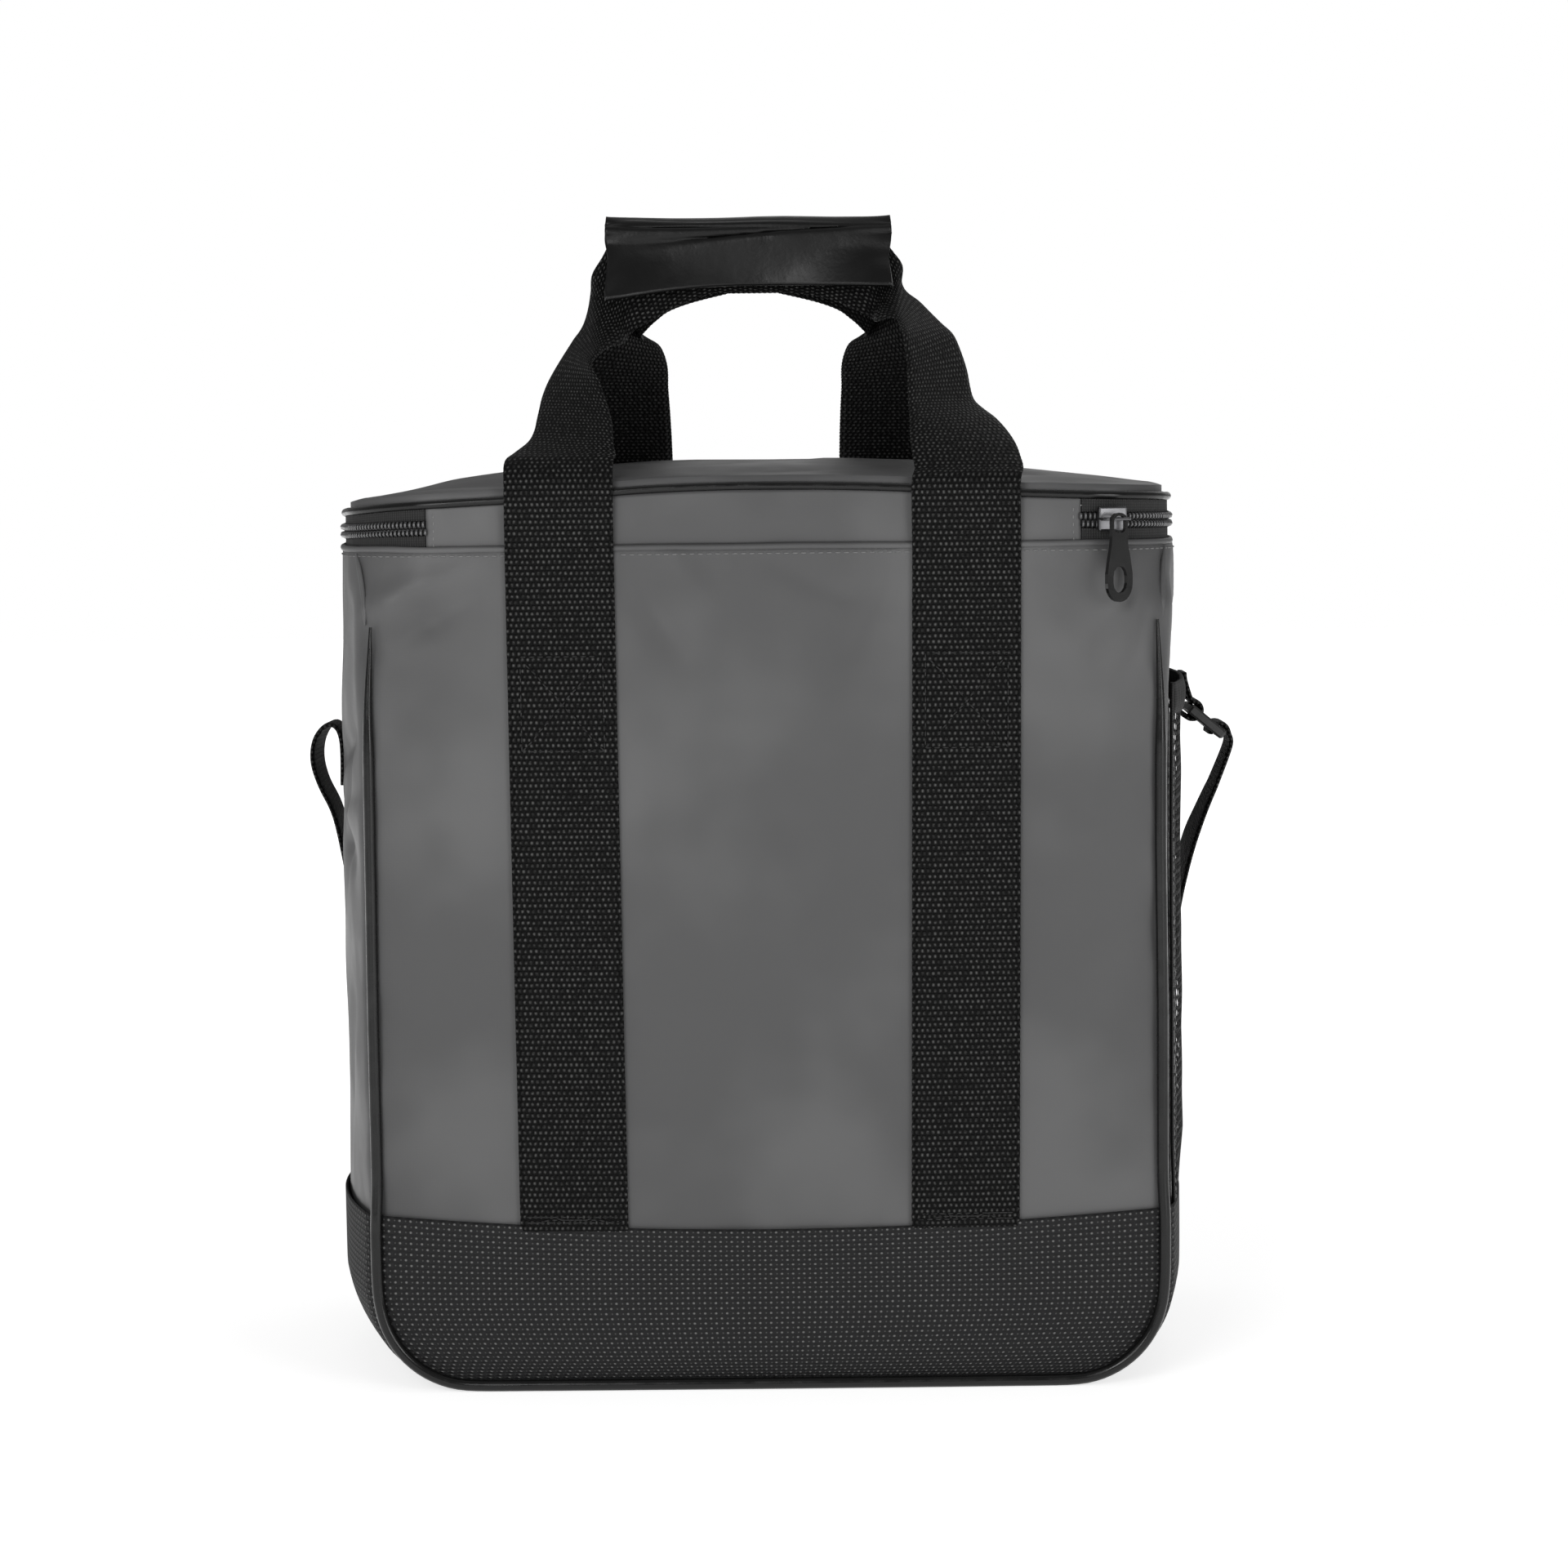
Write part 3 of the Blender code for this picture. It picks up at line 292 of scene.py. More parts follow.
def webbing_material(name="webbing", across=0.0018, row=0.0020):
    """Coarse weave: rows of round yarn loops between dark grooves, each loop with a painted highlight on
    its top.
    """
    s = Shader(name, (0.006, 0.006, 0.006), 0.62)
    u, v = s.uv()
    odd = s.math("FLOOR", s.math("DIVIDE", v, row))
    odd = s.math("MULTIPLY", s.math("FRACT", s.math("MULTIPLY", odd, 0.5)), across * 0.7)
    loop = s.ripple(s.math("ADD", u, odd), across)
    rib = s.math("ABSOLUTE", s.math("SINE", s.math("MULTIPLY", v, math.pi / row)))
    height = s.math("MULTIPLY", s.math("POWER", loop, 0.7), s.math("POWER", rib, 0.5))
    # Painted highlight: the top of each yarn loop is coloured lighter, where light would catch it.
    top = s.math("MULTIPLY", s.math("POWER", loop, 1.6), s.math("POWER", rib, 3.0))
    fuzz = s.noise(700.0, 2.0)
    painted_loop_highlight = s.math("MULTIPLY", top, s.ramp(fuzz, 0.15, 1.0, 0.35, 0.62))
    s.colour(s.mix(painted_loop_highlight, (0.0012, 0.0012, 0.0012), (0.090, 0.090, 0.088)))
    normal = s.bump(height, 0.00055, 1.0)
    s.bump(fuzz, 0.0001, 0.4, normal)
    s.base.inputs["Specular IOR Level"].default_value = 0.12
    return s.material


def boot_material():
    """Textured base cloth: staggered oval pads, each with two yarn tops lightened as painted highlights."""
    s = Shader("boot_cloth", (0.02, 0.02, 0.02), 0.75)
    u, v = s.uv()
    wide, tall = 0.0039, 0.0019
    row = s.math("FLOOR", s.math("DIVIDE", v, tall))
    odd = s.math("MULTIPLY", s.math("FRACT", s.math("MULTIPLY", row, 0.5)), wide)
    across = s.math("ADD", u, odd)
    pad = s.math("POWER", s.ripple(across, wide, -math.pi / 2), 0.6)
    rib = s.math("ABSOLUTE", s.math("SINE", s.math("MULTIPLY", v, math.pi / tall)))
    height = s.math("MULTIPLY", pad, s.math("POWER", rib, 0.7))
    # Painted highlight: two lighter spots on the yarn tops of each pad, where light would catch them.
    painted_yarn_highlights = s.math("MULTIPLY", s.ripple(across, wide / 2, 0.0), s.math("POWER", rib, 2.5))
    painted_yarn_highlights = s.math("MULTIPLY", s.math("POWER", painted_yarn_highlights, 2.0), pad)
    s.colour(s.mix(s.ramp(painted_yarn_highlights, 0.0, 1.0, 0.08, 0.6), (0.0085, 0.0085, 0.0090), (0.125, 0.125, 0.123)))
    normal = s.bump(height, 0.0005, 0.8)
    s.bump(s.noise(700.0, 2.0), 0.0001, 0.3, normal)
    s.base.inputs["Specular IOR Level"].default_value = 0.3
    return s.material


def piping_material():
    """Gloss vinyl cord cover with faint lengthwise scuffs."""
    s = Shader("piping_vinyl", (0.004, 0.004, 0.004), 0.22)
    s.rough(s.ramp(s.noise(120.0, 3.0), 0.16, 0.34, 0.3, 0.7))
    s.bump(s.noise(220.0, 3.0), 0.0002, 0.25)
    s.base.inputs["Specular IOR Level"].default_value = 0.35
    return s.material


def wrap_material():
    """Semi-gloss vinyl with soft creases and a faint leather grain."""
    s = Shader("wrap_vinyl", (0.004, 0.004, 0.004), 0.32)
    s.base.inputs["Specular IOR Level"].default_value = 0.24
    s.rough(s.ramp(s.noise(45.0, 3.0), 0.24, 0.42, 0.3, 0.7))
    s.colour(s.mix(s.noise(30.0, 2.0), (0.003, 0.003, 0.003), (0.006, 0.006, 0.006)))
    grain = s.tree.nodes.new("ShaderNodeTexVoronoi")
    grain.inputs["Scale"].default_value = 900.0
    s.link(s.place(), grain.inputs["Vector"])
    normal = s.bump(grain.outputs["Distance"], 0.00008, 0.25)
    s.bump(s.noise(90.0, 4.0, 0.55), 0.0012, 0.3, normal)
    return s.material


def tape_material():
    """Zip tape and binding: a fine upright rib."""
    s = Shader("zip_cloth", (0.010, 0.010, 0.010), 0.8)
    u, v = s.uv()
    rib = s.ripple(u, 0.0009)
    s.colour(s.mix(s.math("MULTIPLY", rib, s.ripple(v, 0.0009)), (0.006, 0.006, 0.006), (0.03, 0.03, 0.03)))
    s.bump(rib, 0.00025, 0.8)
    return s.material


def plain_material(name, colour, roughness, metallic=0.0, coat=0.0, grain=400.0, depth=0.0001):
    """Moulded, lacquered or metal surfaces with fine unevenness in gloss and relief."""
    s = Shader(name, colour, roughness, metallic)
    s.rough(s.ramp(s.noise(grain * 0.4, 3.0), roughness * 0.8, roughness * 1.3, 0.3, 0.7))
    s.bump(s.noise(grain, 2.0), depth, 0.2)
    s.base.inputs["Coat Weight"].default_value = coat
    return s.material


def thread_material():
    s = Shader("grey_thread", (0.18, 0.18, 0.18), 0.6)
    u, v = s.uv()
    s.bump(s.ripple(s.math("ADD", u, v), 0.0004), 0.0001, 0.8)
    return s.material


def floor_material():
    """A light table: it glows a little under the bag and more towards the horizon."""
    s = Shader("pale_floor", (0.80, 0.80, 0.80), 0.9)
    s.base.inputs["Specular IOR Level"].default_value = 0.1
    s.base.inputs["Emission Color"].default_value = (1.0, 1.0, 1.0, 1.0)
    away = s.tree.nodes.new("ShaderNodeVectorMath")
    away.operation = "LENGTH"
    s.link(s.place(), away.inputs[0])
    glow = s.ramp(away.outputs["Value"], FLOOR_GLOW, 1.05, FLOOR_NEAR, FLOOR_FAR)
    s.link(glow, s.base.inputs["Emission Strength"])
    return s.material


GREY = grey_cloth_material()
WEBBING = webbing_material()
STRAP_WEB = webbing_material("strap_webbing", 0.0016, 0.0018)
BOOT = boot_material()
PIPING = piping_material()
WRAP = wrap_material()
TAPE = tape_material()
TEETH = plain_material("zip_teeth", (0.060, 0.060, 0.062), 0.18, coat=0.9)
GUNMETAL = plain_material("gunmetal", (0.13, 0.13, 0.135), 0.32, 1.0, grain=250.0)
GLOSS = plain_material("black_gloss", (0.004, 0.004, 0.004), 0.14, grain=150.0)
NET = plain_material("net_cloth", (0.006, 0.006, 0.006), 0.6, grain=1500.0, depth=0.0002)
PLASTIC = plain_material("black_plastic", (0.022, 0.022, 0.022), 0.42, grain=900.0)
THREAD = thread_material()
BLACK_THREAD = plain_material("black_thread", (0.004, 0.004, 0.004), 0.5, grain=2500.0)
FLOOR = floor_material()

# Meshes


def make_object(name, vertices, faces, finish, uvs=None):
    """An object from arrays; uvs holds one pair for each face corner."""
    mesh = bpy.data.meshes.new(name)
    mesh.from_pydata([tuple(v) for v in vertices], [], [tuple(f) for f in faces])
    if uvs is not None:
        layer = mesh.uv_layers.new(name="cloth")
        layer.data.foreach_set("uv", np.asarray(uvs, dtype=np.float32).ravel())
    mesh.materials.append(finish)
    mesh.shade_smooth()
    mesh.validate()
    made = bpy.data.objects.new(name, mesh)
    bpy.context.scene.collection.objects.link(made)
    return made


def grid_object(name, grid, finish, closed=False):
    """A sheet from rows of points, with a map in metres along both ways."""
    grid = np.asarray(grid, dtype=float)
    rows, columns, _ = grid.shape
    ring = np.concatenate([grid, grid[:, :1]], axis=1) if closed else grid
    step_u = np.linalg.norm(np.diff(ring, axis=1), axis=2)
    middle_row = step_u[int(rows * 0.6)]
    u = np.concatenate([[0.0], np.cumsum(middle_row)])
    step_v = np.linalg.norm(np.diff(grid, axis=0), axis=2).mean(axis=1)
    v = np.concatenate([[0.0], np.cumsum(step_v)])
    faces, uvs = [], []
    for r in range(rows - 1):
        for c in range(columns if closed else columns - 1):
            d = (c + 1) % columns
            corners = [(r, c, c), (r, d, c + 1), (r + 1, d, c + 1), (r + 1, c, c)]
            faces.append([i * columns + j for i, j, _ in corners])
            uvs += [(u[k], v[i]) for i, _, k in corners]
    return make_object(name, grid.reshape(-1, 3), faces, finish, uvs)


def add_wall(piece, thickness):
    wall = piece.modifiers.new("wall", "SOLIDIFY")
    wall.thickness = thickness
    wall.offset = -1.0
    wall.use_even_offset = False


def tube_object(name, points, radius, finish, cyclic=False, ends=None, resolution=4):
    """A round cord through smooth points."""
    curve = bpy.data.curves.new(name, "CURVE")
    curve.dimensions = "3D"
    curve.bevel_depth = radius
    curve.bevel_resolution = resolution
    curve.use_fill_caps = not cyclic
    path = curve.splines.new("POLY")
    path.points.add(len(points) - 1)
    for i, point in enumerate(points):
        path.points[i].co = (*point, 1.0)
        if ends is not None:
            path.points[i].radius = ends[i]
    path.use_cyclic_u = cyclic
    curve.materials.append(finish)
    made = bpy.data.objects.new(name, curve)
    bpy.context.scene.collection.objects.link(made)
    return made


def joined(name, chunks, finish, mapped=False):
    """Many small closed shapes, given as (vertices, faces), in one mesh."""
    vertices, faces, start = [], [], 0
    for points, polygons in chunks:
        vertices.append(np.asarray(points, dtype=float))
        faces += [[i + start for i in polygon] for polygon in polygons]
        start += len(points)
    flat = np.concatenate(vertices)
    uvs = None
    if mapped:
        uvs = [(flat[i][0], flat[i][2]) for f in faces for i in f]
    return make_object(name, flat, faces, finish, uvs)


@contextmanager
def opened(piece):
    """A piece's mesh, open for changes and written back at the end."""
    work = bmesh.new()
    work.from_mesh(piece.data)
    work.verts.ensure_lookup_table()
    yield work
    work.to_mesh(piece.data)
    work.free()
    piece.data.shade_smooth()


def map_from_above(work, faces):
    """Gives faces a map of their own X and Y."""
    layer = work.loops.layers.uv["cloth"]
    for face in faces:
        for loop in face.loops:
            loop[layer].uv = (loop.vert.co.x, loop.vert.co.y)


def ride_root(piece, slot_name, *nodes):
    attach(piece, "root")
    if nodes:
        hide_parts(*nodes)


def blend_value(a, b, share):
    return a + (b - a) * share


def catmull(rows, t):
    """A table's row at a place t counted in rows, smooth through all of them."""
    rows = np.asarray(rows, dtype=float)
    i = int(min(max(math.floor(t), 0), len(rows) - 2))
    f = t - i
    p0, p1, p2, p3 = (rows[min(max(i + k, 0), len(rows) - 1)] for k in (-1, 0, 1, 2))
    return 0.5 * (2 * p1 + (p2 - p0) * f + (2 * p0 - 5 * p1 + 4 * p2 - p3) * f * f
                  + (3 * p1 - p0 - 3 * p2 + p3) * f ** 3)


def cloudy(x, y, z, scale, seed=0.0):
    """Smooth noise of about -1 to 1."""
    return noise.noise(Vector((x * scale + seed, y * scale - seed, z * scale + 0.5 * seed)))


# Form of the bag, as its frame has it
BAG_SECTIONS = [
    # height, left, right, swell, belly, corner
    (0.000, 0.990, 0.990, 0.10, 0.05, 0.0),
    (0.040, 0.990, 0.990, 0.70, 0.45, 0.0),
    (0.120, 0.990, 0.993, 1.00, 0.80, 0.0),
    (0.250, 0.992, 0.995, 1.00, 1.00, 0.0),
    (0.450, 0.995, 0.996, 0.98, 1.00, 0.0),
    (0.650, 0.998, 0.996, 0.94, 0.85, 0.05),
    (0.820, 1.000, 1.000, 0.90, 0.60, 0.08),
    (0.930, 1.000, 1.004, 0.86, 0.35, 0.35),
    (1.000, 1.000, 1.000, 0.82, 0.25, 1.0),
]


def section(z):
    share = min(max(z / HEIGHT, 0.0), 1.0)
    for low, high in zip(BAG_SECTIONS, BAG_SECTIONS[1:]):
        if share <= high[0]:
            t = (share - low[0]) / (high[0] - low[0])
            return [blend_value(a, b, t) for a, b in zip(low, high)]
    return list(BAG_SECTIONS[-1])


def foot_inset(z):
    if z >= FOOT_RADIUS:
        return 0.0
    return FOOT_RADIUS - math.sqrt(max(FOOT_RADIUS ** 2 - (FOOT_RADIUS - z) ** 2, 0.0))


def seam_x(z, side):
    _, left, right, _, _, _ = section(z)
    return side * WIDTH / 2 * (left if side < 0 else right) - side * foot_inset(z)


def behind_pocket(z):
    """0 at the boot and above the net, 1 behind the net."""
    return min(max((z - BOOT_HEIGHT) / POCKET_CLOSE, 0.0), 1.0,
               max(1 - (z - POCKET_TOP) / POCKET_FADE, 0.0))


def swell_point(x, y, z):
    _, _, _, swell, belly, _ = section(z)
    half_x = abs(seam_x(z, -1 if x < 0 else 1))
    bulge = SIDE_BULGE_LEFT * swell
    if x >= 0:
        bulge = SIDE_BULGE_RIGHT * swell - POCKET_PRESS * behind_pocket(z)
    across = min(abs(x) / half_x, 1.0)
    along = min(abs(y) / (DEPTH / 2), 1.0)
    out_x = math.copysign(bulge * (1 - along ** 2) * across ** 3, x)
    out_y = math.copysign(BELLY * belly * (1 - across ** 2) * along ** 3, y)
    return x + out_x, y + out_y


def face_y(x, z):
    return -abs(swell_point(x, DEPTH / 2, z)[1])


def side_x(y, z, side):
    return swell_point(seam_x(z, side), y, z)[0]


def corner_radius(z):
    return blend_value(SEAM_RADIUS, HEM_RADIUS, section(z)[5])


def seam_corner(z, side, plain, hem):
    """A place round a rear corner before it swells: its angle goes from plain to that of the hem."""
    radius = corner_radius(z)
    angle = math.radians(blend_value(plain, hem, section(z)[5]))
    x = side * (abs(seam_x(z, side)) - radius + radius * math.cos(angle))
    return x, DEPTH / 2 - radius + radius * math.sin(angle), angle


CORNER_STEPS = 9
STRAIGHT_LONG = 84
STRAIGHT_SHORT = 52


def plan_ring(z, grow=0.0):
    """The outline at a height, counter-clockwise from the right side's rear end."""
    radius = corner_radius(z)
    flat = []
    signs = [(1, 1), (-1, 1), (-1, -1), (1, -1)]
    for turn in range(4):
        sx, sy = signs[turn]
        cx = sx * (abs(seam_x(z, sx)) - radius)
        cy = sy * (DEPTH / 2 - radius)
        for step in range(CORNER_STEPS):
            angle = math.radians(90 * turn + 90 * step / (CORNER_STEPS - 1))
            flat.append((cx + radius * math.cos(angle), cy + radius * math.sin(angle)))
        nx, ny = signs[(turn + 1) % 4]
        dx = nx * (abs(seam_x(z, nx)) - radius)
        dy = ny * (DEPTH / 2 - radius)
        angle = math.radians(90 * (turn + 1))
        target = (dx + radius * math.cos(angle), dy + radius * math.sin(angle))
        start = flat[-1]
        steps = STRAIGHT_LONG if turn in (0, 2) else STRAIGHT_SHORT
        for step in range(1, steps + 1):
            t = step / (steps + 1)
            flat.append((blend_value(start[0], target[0], t), blend_value(start[1], target[1], t)))
    swollen = np.array([swell_point(x, y, z) for x, y in flat])
    along = np.roll(swollen, -1, axis=0) - np.roll(swollen, 1, axis=0)
    normal = np.stack([along[:, 1], -along[:, 0]], axis=1)
    normal /= np.linalg.norm(normal, axis=1)[:, None]
    place = swollen + normal * grow
    ring = np.concatenate([place, np.full((len(place), 1), z)], axis=1)
    return ring, np.concatenate([normal, np.zeros((len(place), 1))], axis=1)


# Folds in the cloth: each runs from one place to another on its panel; side -1 is the front,
# 1 the back; depth is positive for a ridge and negative for a dent
PANEL_FOLDS = [
    # side, x0, z0, x1, z1, half width, depth
    (-1, -0.138, 0.278, -0.096, 0.291, 0.0050, 0.0011),
    (-1, -0.135, 0.262, -0.100, 0.283, 0.0060, -0.0012),
    (-1, -0.131, 0.286, -0.112, 0.268, 0.0040, -0.0008),
    (-1, -0.048, 0.290, -0.030, 0.262, 0.0060, -0.0012),
    (-1, -0.030, 0.292, -0.018, 0.276, 0.0045, 0.0007),
    (-1, 0.004, 0.292, 0.030, 0.280, 0.0050, -0.0009),
    (-1, 0.046, 0.288, 0.034, 0.262, 0.0055, -0.0009),
    (-1, 0.096, 0.287, 0.112, 0.268, 0.0055, -0.0012),
    (-1, 0.132, 0.285, 0.114, 0.262, 0.0060, -0.0013),
    (-1, 0.136, 0.270, 0.118, 0.240, 0.0060, 0.0008),
    (-1, 0.020, 0.130, 0.048, 0.082, 0.0140, -0.0010),
    (-1, -0.020, 0.215, 0.035, 0.185, 0.0160, -0.0009),
    (-1, -0.134, 0.130, -0.118, 0.090, 0.0100, -0.0009),
    (-1, 0.134, 0.160, 0.116, 0.120, 0.0100, -0.0009),
    (1, -0.120, 0.285, -0.090, 0.255, 0.0070, -0.0012),
    (1, 0.125, 0.280, 0.095, 0.262, 0.0060, -0.0012),
    (1, 0.010, 0.285, 0.025, 0.240, 0.0080, -0.0010),
    (1, -0.020, 0.180, 0.020, 0.120, 0.0140, -0.0012),
]
GUSSET_FOLDS = [
    # side, y0, z0, y1, z1, half width, depth
    (-1, -0.075, 0.232, -0.020, 0.218, 0.0050, -0.0013),
    (-1, -0.078, 0.205, -0.035, 0.196, 0.0045, 0.0009),
    (-1, -0.070, 0.188, -0.020, 0.200, 0.0060, -0.0012),
    (-1, -0.072, 0.275, -0.050, 0.180, 0.0060, -0.0010),
    (-1, 0.060, 0.260, 0.030, 0.170, 0.0080, -0.0012),
    (-1, -0.060, 0.130, -0.030, 0.080, 0.0090, -0.0010),
    (-1, 0.020, 0.140, 0.060, 0.085, 0.0090, -0.0010),
    (1, -0.070, 0.285, -0.040, 0.262, 0.0060, -0.0010),
    (1, 0.065, 0.285, 0.045, 0.258, 0.0060, -0.0010),
]


def fold_height(a, b, a0, b0, a1, b1, half):
    """How far along a fold a place lies, and the fold's height there, both 0 to 1."""
    run_a, run_b = a1 - a0, b1 - b0
    t = min(max(((a - a0) * run_a + (b - b0) * run_b) / (run_a ** 2 + run_b ** 2), 0.0), 1.0)
    away = math.hypot(a - a0 - run_a * t, b - b0 - run_b * t)
    return t, math.exp(-(away / half) ** 2)


def fold_relief(table, side, a, z):
    """The sum of the folds of one panel at a place."""
    total = 0.0
    for row_side, a0, z0, a1, z1, half, depth in table:
        if row_side == side:
            t, height = fold_height(a, z, a0, z0, a1, z1, half)
            taper = 0.35 + 0.65 * math.sin(math.pi * (0.12 + 0.76 * t))
            total += FOLD_DEPTH * depth * taper * height
    return total


def under_strap(x, y):
    """1 away from the handle straps, near 0 under them."""
    places = FRONT_STRAPS if y < 0 else REAR_STRAPS
    near = min(abs(x - place) for place in places)
    return min(max((near - 0.0195) / 0.006, 0.0), 1.0)


def cloth_relief(x, y, z, nx, ny):
    """How far the outer cloth stands out from the plain form: puckers, clouds and folds."""
    frontal = abs(ny) > abs(nx)
    along = x if frontal else y
    soft = 0.0011 * cloudy(x, y, z, 13.0) + 0.0005 * cloudy(x, y, z, 34.0, 3.0)
    hem = max(HEIGHT - z, 0.0)
    gather = 0.00125 * math.exp(-hem / 0.014) * cloudy(along, 0.0, z * 0.25, 85.0, 7.0)
    gather *= min(hem / 0.004, 1.0)
    edge = abs(abs(x) - WIDTH / 2) if frontal else abs(abs(y) - DEPTH / 2)
    seam = 0.0013 * math.exp(-edge / 0.011) * cloudy(along * 0.3, 0.0, z, 62.0, 11.0)
    low = max(z - BOOT_HEIGHT, 0.0)
    pucker = 0.0006 * math.exp(-low / 0.010) * cloudy(along, 0.0, z * 0.3, 70.0, 17.0)
    if frontal:
        folds = fold_relief(PANEL_FOLDS, -1 if ny < 0 else 1, x, z)
        mask = under_strap(x, y)
    else:
        folds = fold_relief(GUSSET_FOLDS, -1 if x < 0 else 1, y, z)
        mask = 1.0 if x < 0 or z > 0.252 else 0.25
    relief = soft + gather + seam + pucker + folds
    return relief * mask - 0.0002


def fill_pocket(x, y, z):
    """How far the gusset cloth bulges out to the net, beside the room that the pocket holds."""
    half = DEPTH / 2 * POCKET_REACH
    if x < 0 or abs(y) >= half or z >= POCKET_TOP:
        return 0.0
    rise = min((z - BOOT_HEIGHT) / POCKET_CLOSE, (POCKET_TOP - z) / POCKET_FADE, 1.0)
    beside = min(max((abs(y) - POCKET_ROOM) / POCKET_EASE, 0.0), 1.0)
    return POCKET_FILL * POCKET_SLACK * (1 - (abs(y) / half) ** 2.5) * beside * max(rise, 0.0)


def relieved_ring(z):
    ring, normals = plan_ring(z)
    out = ring.copy()
    for i, (point, normal) in enumerate(zip(ring, normals)):
        push = cloth_relief(*point, normal[0], normal[1])
        if abs(normal[0]) > abs(normal[1]):
            push += fill_pocket(*point)
        out[i] = point + normal * push
    return out


def build_body():
    """The padded shell: fine outer cloth above the boot, plain below it."""
    foot = [FOOT_RADIUS * (1 - math.cos(math.radians(a))) for a in (0, 12, 24, 36, 48, 60, 75, 90)]
    plain = [plan_ring(z)[0] for z in foot + [BOOT_HEIGHT * 0.85]]
    floor_scale = (BOOT_HEIGHT - FLOOR_LIFT) / BOOT_HEIGHT
    for ring in plain:
        ring[:, 2] = BOOT_HEIGHT - (BOOT_HEIGHT - ring[:, 2]) * floor_scale
    low = BOOT_HEIGHT - 0.002
    steps = 84
    fine = [relieved_ring(blend_value(low, HEIGHT, i / steps)) for i in range(steps + 1)]
    piece = grid_object("body_cloth", plain + fine, GREY, closed=True)
    with opened(piece) as work:
        work.faces.new([work.verts[i] for i in reversed(range(len(plain[0])))])
    add_wall(piece, WALL)
    ride_root(piece, "grey_cloth", "body_shell")


def boot_top(x, y):
    """The boot's upper edge: a little lower in the middle of the front and back."""
    frontal = min(abs(y) / (DEPTH / 2), 1.0) ** 6
    middle = 1 - min(abs(x) / (WIDTH / 2), 1.0) ** 2
    return BOOT_HEIGHT + 0.0055 - 0.0055 * middle * frontal


def build_boot():
    """Textured cloth round the foot, with a turned upper edge."""
    angles = [i * 90 / 22 for i in range(23)]
    heights = [FOOT_RADIUS * (1 - math.cos(math.radians(a))) for a in angles]
    heights += [blend_value(FOOT_RADIUS, BOOT_HEIGHT, i / 14) for i in range(1, 15)]
    rings = []
    for z in heights:
        ring, normals = plan_ring(z, FLOOR_LIFT)
        share = max((z - FOOT_RADIUS) / (BOOT_HEIGHT - FOOT_RADIUS), 0.0)
        for i, (point, normal) in enumerate(zip(ring, normals)):
            wave = 0.0005 * cloudy(point[0], point[1], z, 22.0, 5.0) * min(z / 0.02, 1.0)
            point += normal * wave
            point[2] = z + share * (boot_top(point[0], point[1]) - BOOT_HEIGHT)
        rings.append(ring)
    rolled = rings[-1].copy()
    _, normals = plan_ring(BOOT_HEIGHT, FLOOR_LIFT)
    rings.append(rolled + normals * -0.0004 + np.array([0, 0, 0.0004]))
    piece = grid_object("boot_cloth_cover", rings, BOOT, closed=True)
    with opened(piece) as work:
        bottom = work.faces.new([work.verts[i] for i in reversed(range(len(rings[0])))])
        map_from_above(work, [bottom])
    add_wall(piece, BOOT_CLOTH)
    ride_root(piece, "boot_cloth", "base_boot")


def piping_line(face):
    """The cord's middle line, as the frame has it, in fine steps."""
    inset = PIPING_RADIUS + GAP

    def place(x, z, side):
        over = min(max((BOOT_HEIGHT * 1.25 - z) / (BOOT_HEIGHT * 0.2), 0.0), 1.0)
        stand = FLOOR_LIFT * over + GAP + PIPING_RADIUS
        flat = abs(face_y(x, z)) + stand
        if not side:
            return (x, face * flat, z)
        flat_x, flat_y, angle = seam_corner(z, side, 62, 45)
        rx, ry = swell_point(flat_x, flat_y, z)
        rx = abs(rx) + stand * math.cos(angle)
        ry += stand * math.sin(angle)
        foot = min(max(1 - z / FOOT_RADIUS, 0.0), 1.0)
        along = side * rx if z >= FOOT_RADIUS else x
        return (along, face * blend_value(ry, flat, foot ** 0.5), z)

    halves = {}
    for side in (-1, 1):
        heights = [blend_value(PIPING_TOP, FOOT_RADIUS * 1.15, i / 60) for i in range(61)]
        half = [(seam_x(z, side) - side * inset, z) for z in heights]
        foot_x = seam_x(FOOT_RADIUS, side) - side * FOOT_RADIUS
        turn = FOOT_RADIUS - inset
        for i in range(19):
            a = math.radians(90 - 90 * i / 18)
            half.append((foot_x + side * turn * math.sin(a), FOOT_RADIUS - turn * math.cos(a)))
        halves[side] = [place(x, z, side) for x, z in half]
    ax, bx = halves[-1][-1][0], halves[1][-1][0]
    middle = [place(blend_value(ax, bx, i / 40), inset, 0) for i in range(1, 40)]
    line = np.array(halves[-1] + middle + halves[1][::-1])
    for _ in range(3):
        line[1:-1] = 0.25 * line[:-2] + 0.5 * line[1:-1] + 0.25 * line[2:]
    return line


def build_piping(name, node, face):
    line = piping_line(face)
    count = len(line)
    ends = [min(1.0, 0.25 + 0.9 * min(i, count - 1 - i) / 14) for i in range(count)]
    piece = tube_object(name, line, SEAM_CORD, PIPING, ends=ends, resolution=5)
    ride_root(piece, "piping_vinyl", node)


build_body()
build_boot()
build_piping("front_seam_piping", "front_piping", -1)
build_piping("rear_seam_piping", "rear_piping", 1)

# Webbing


def edge_pair(centre, width, yaw, pitch):
    yaw, pitch = math.radians(yaw), math.radians(pitch)
    way = np.array([math.cos(pitch) * math.cos(yaw), math.cos(pitch) * math.sin(yaw), math.sin(pitch)])
    return np.asarray(centre) - way * width / 2, np.asarray(centre) + way * width / 2


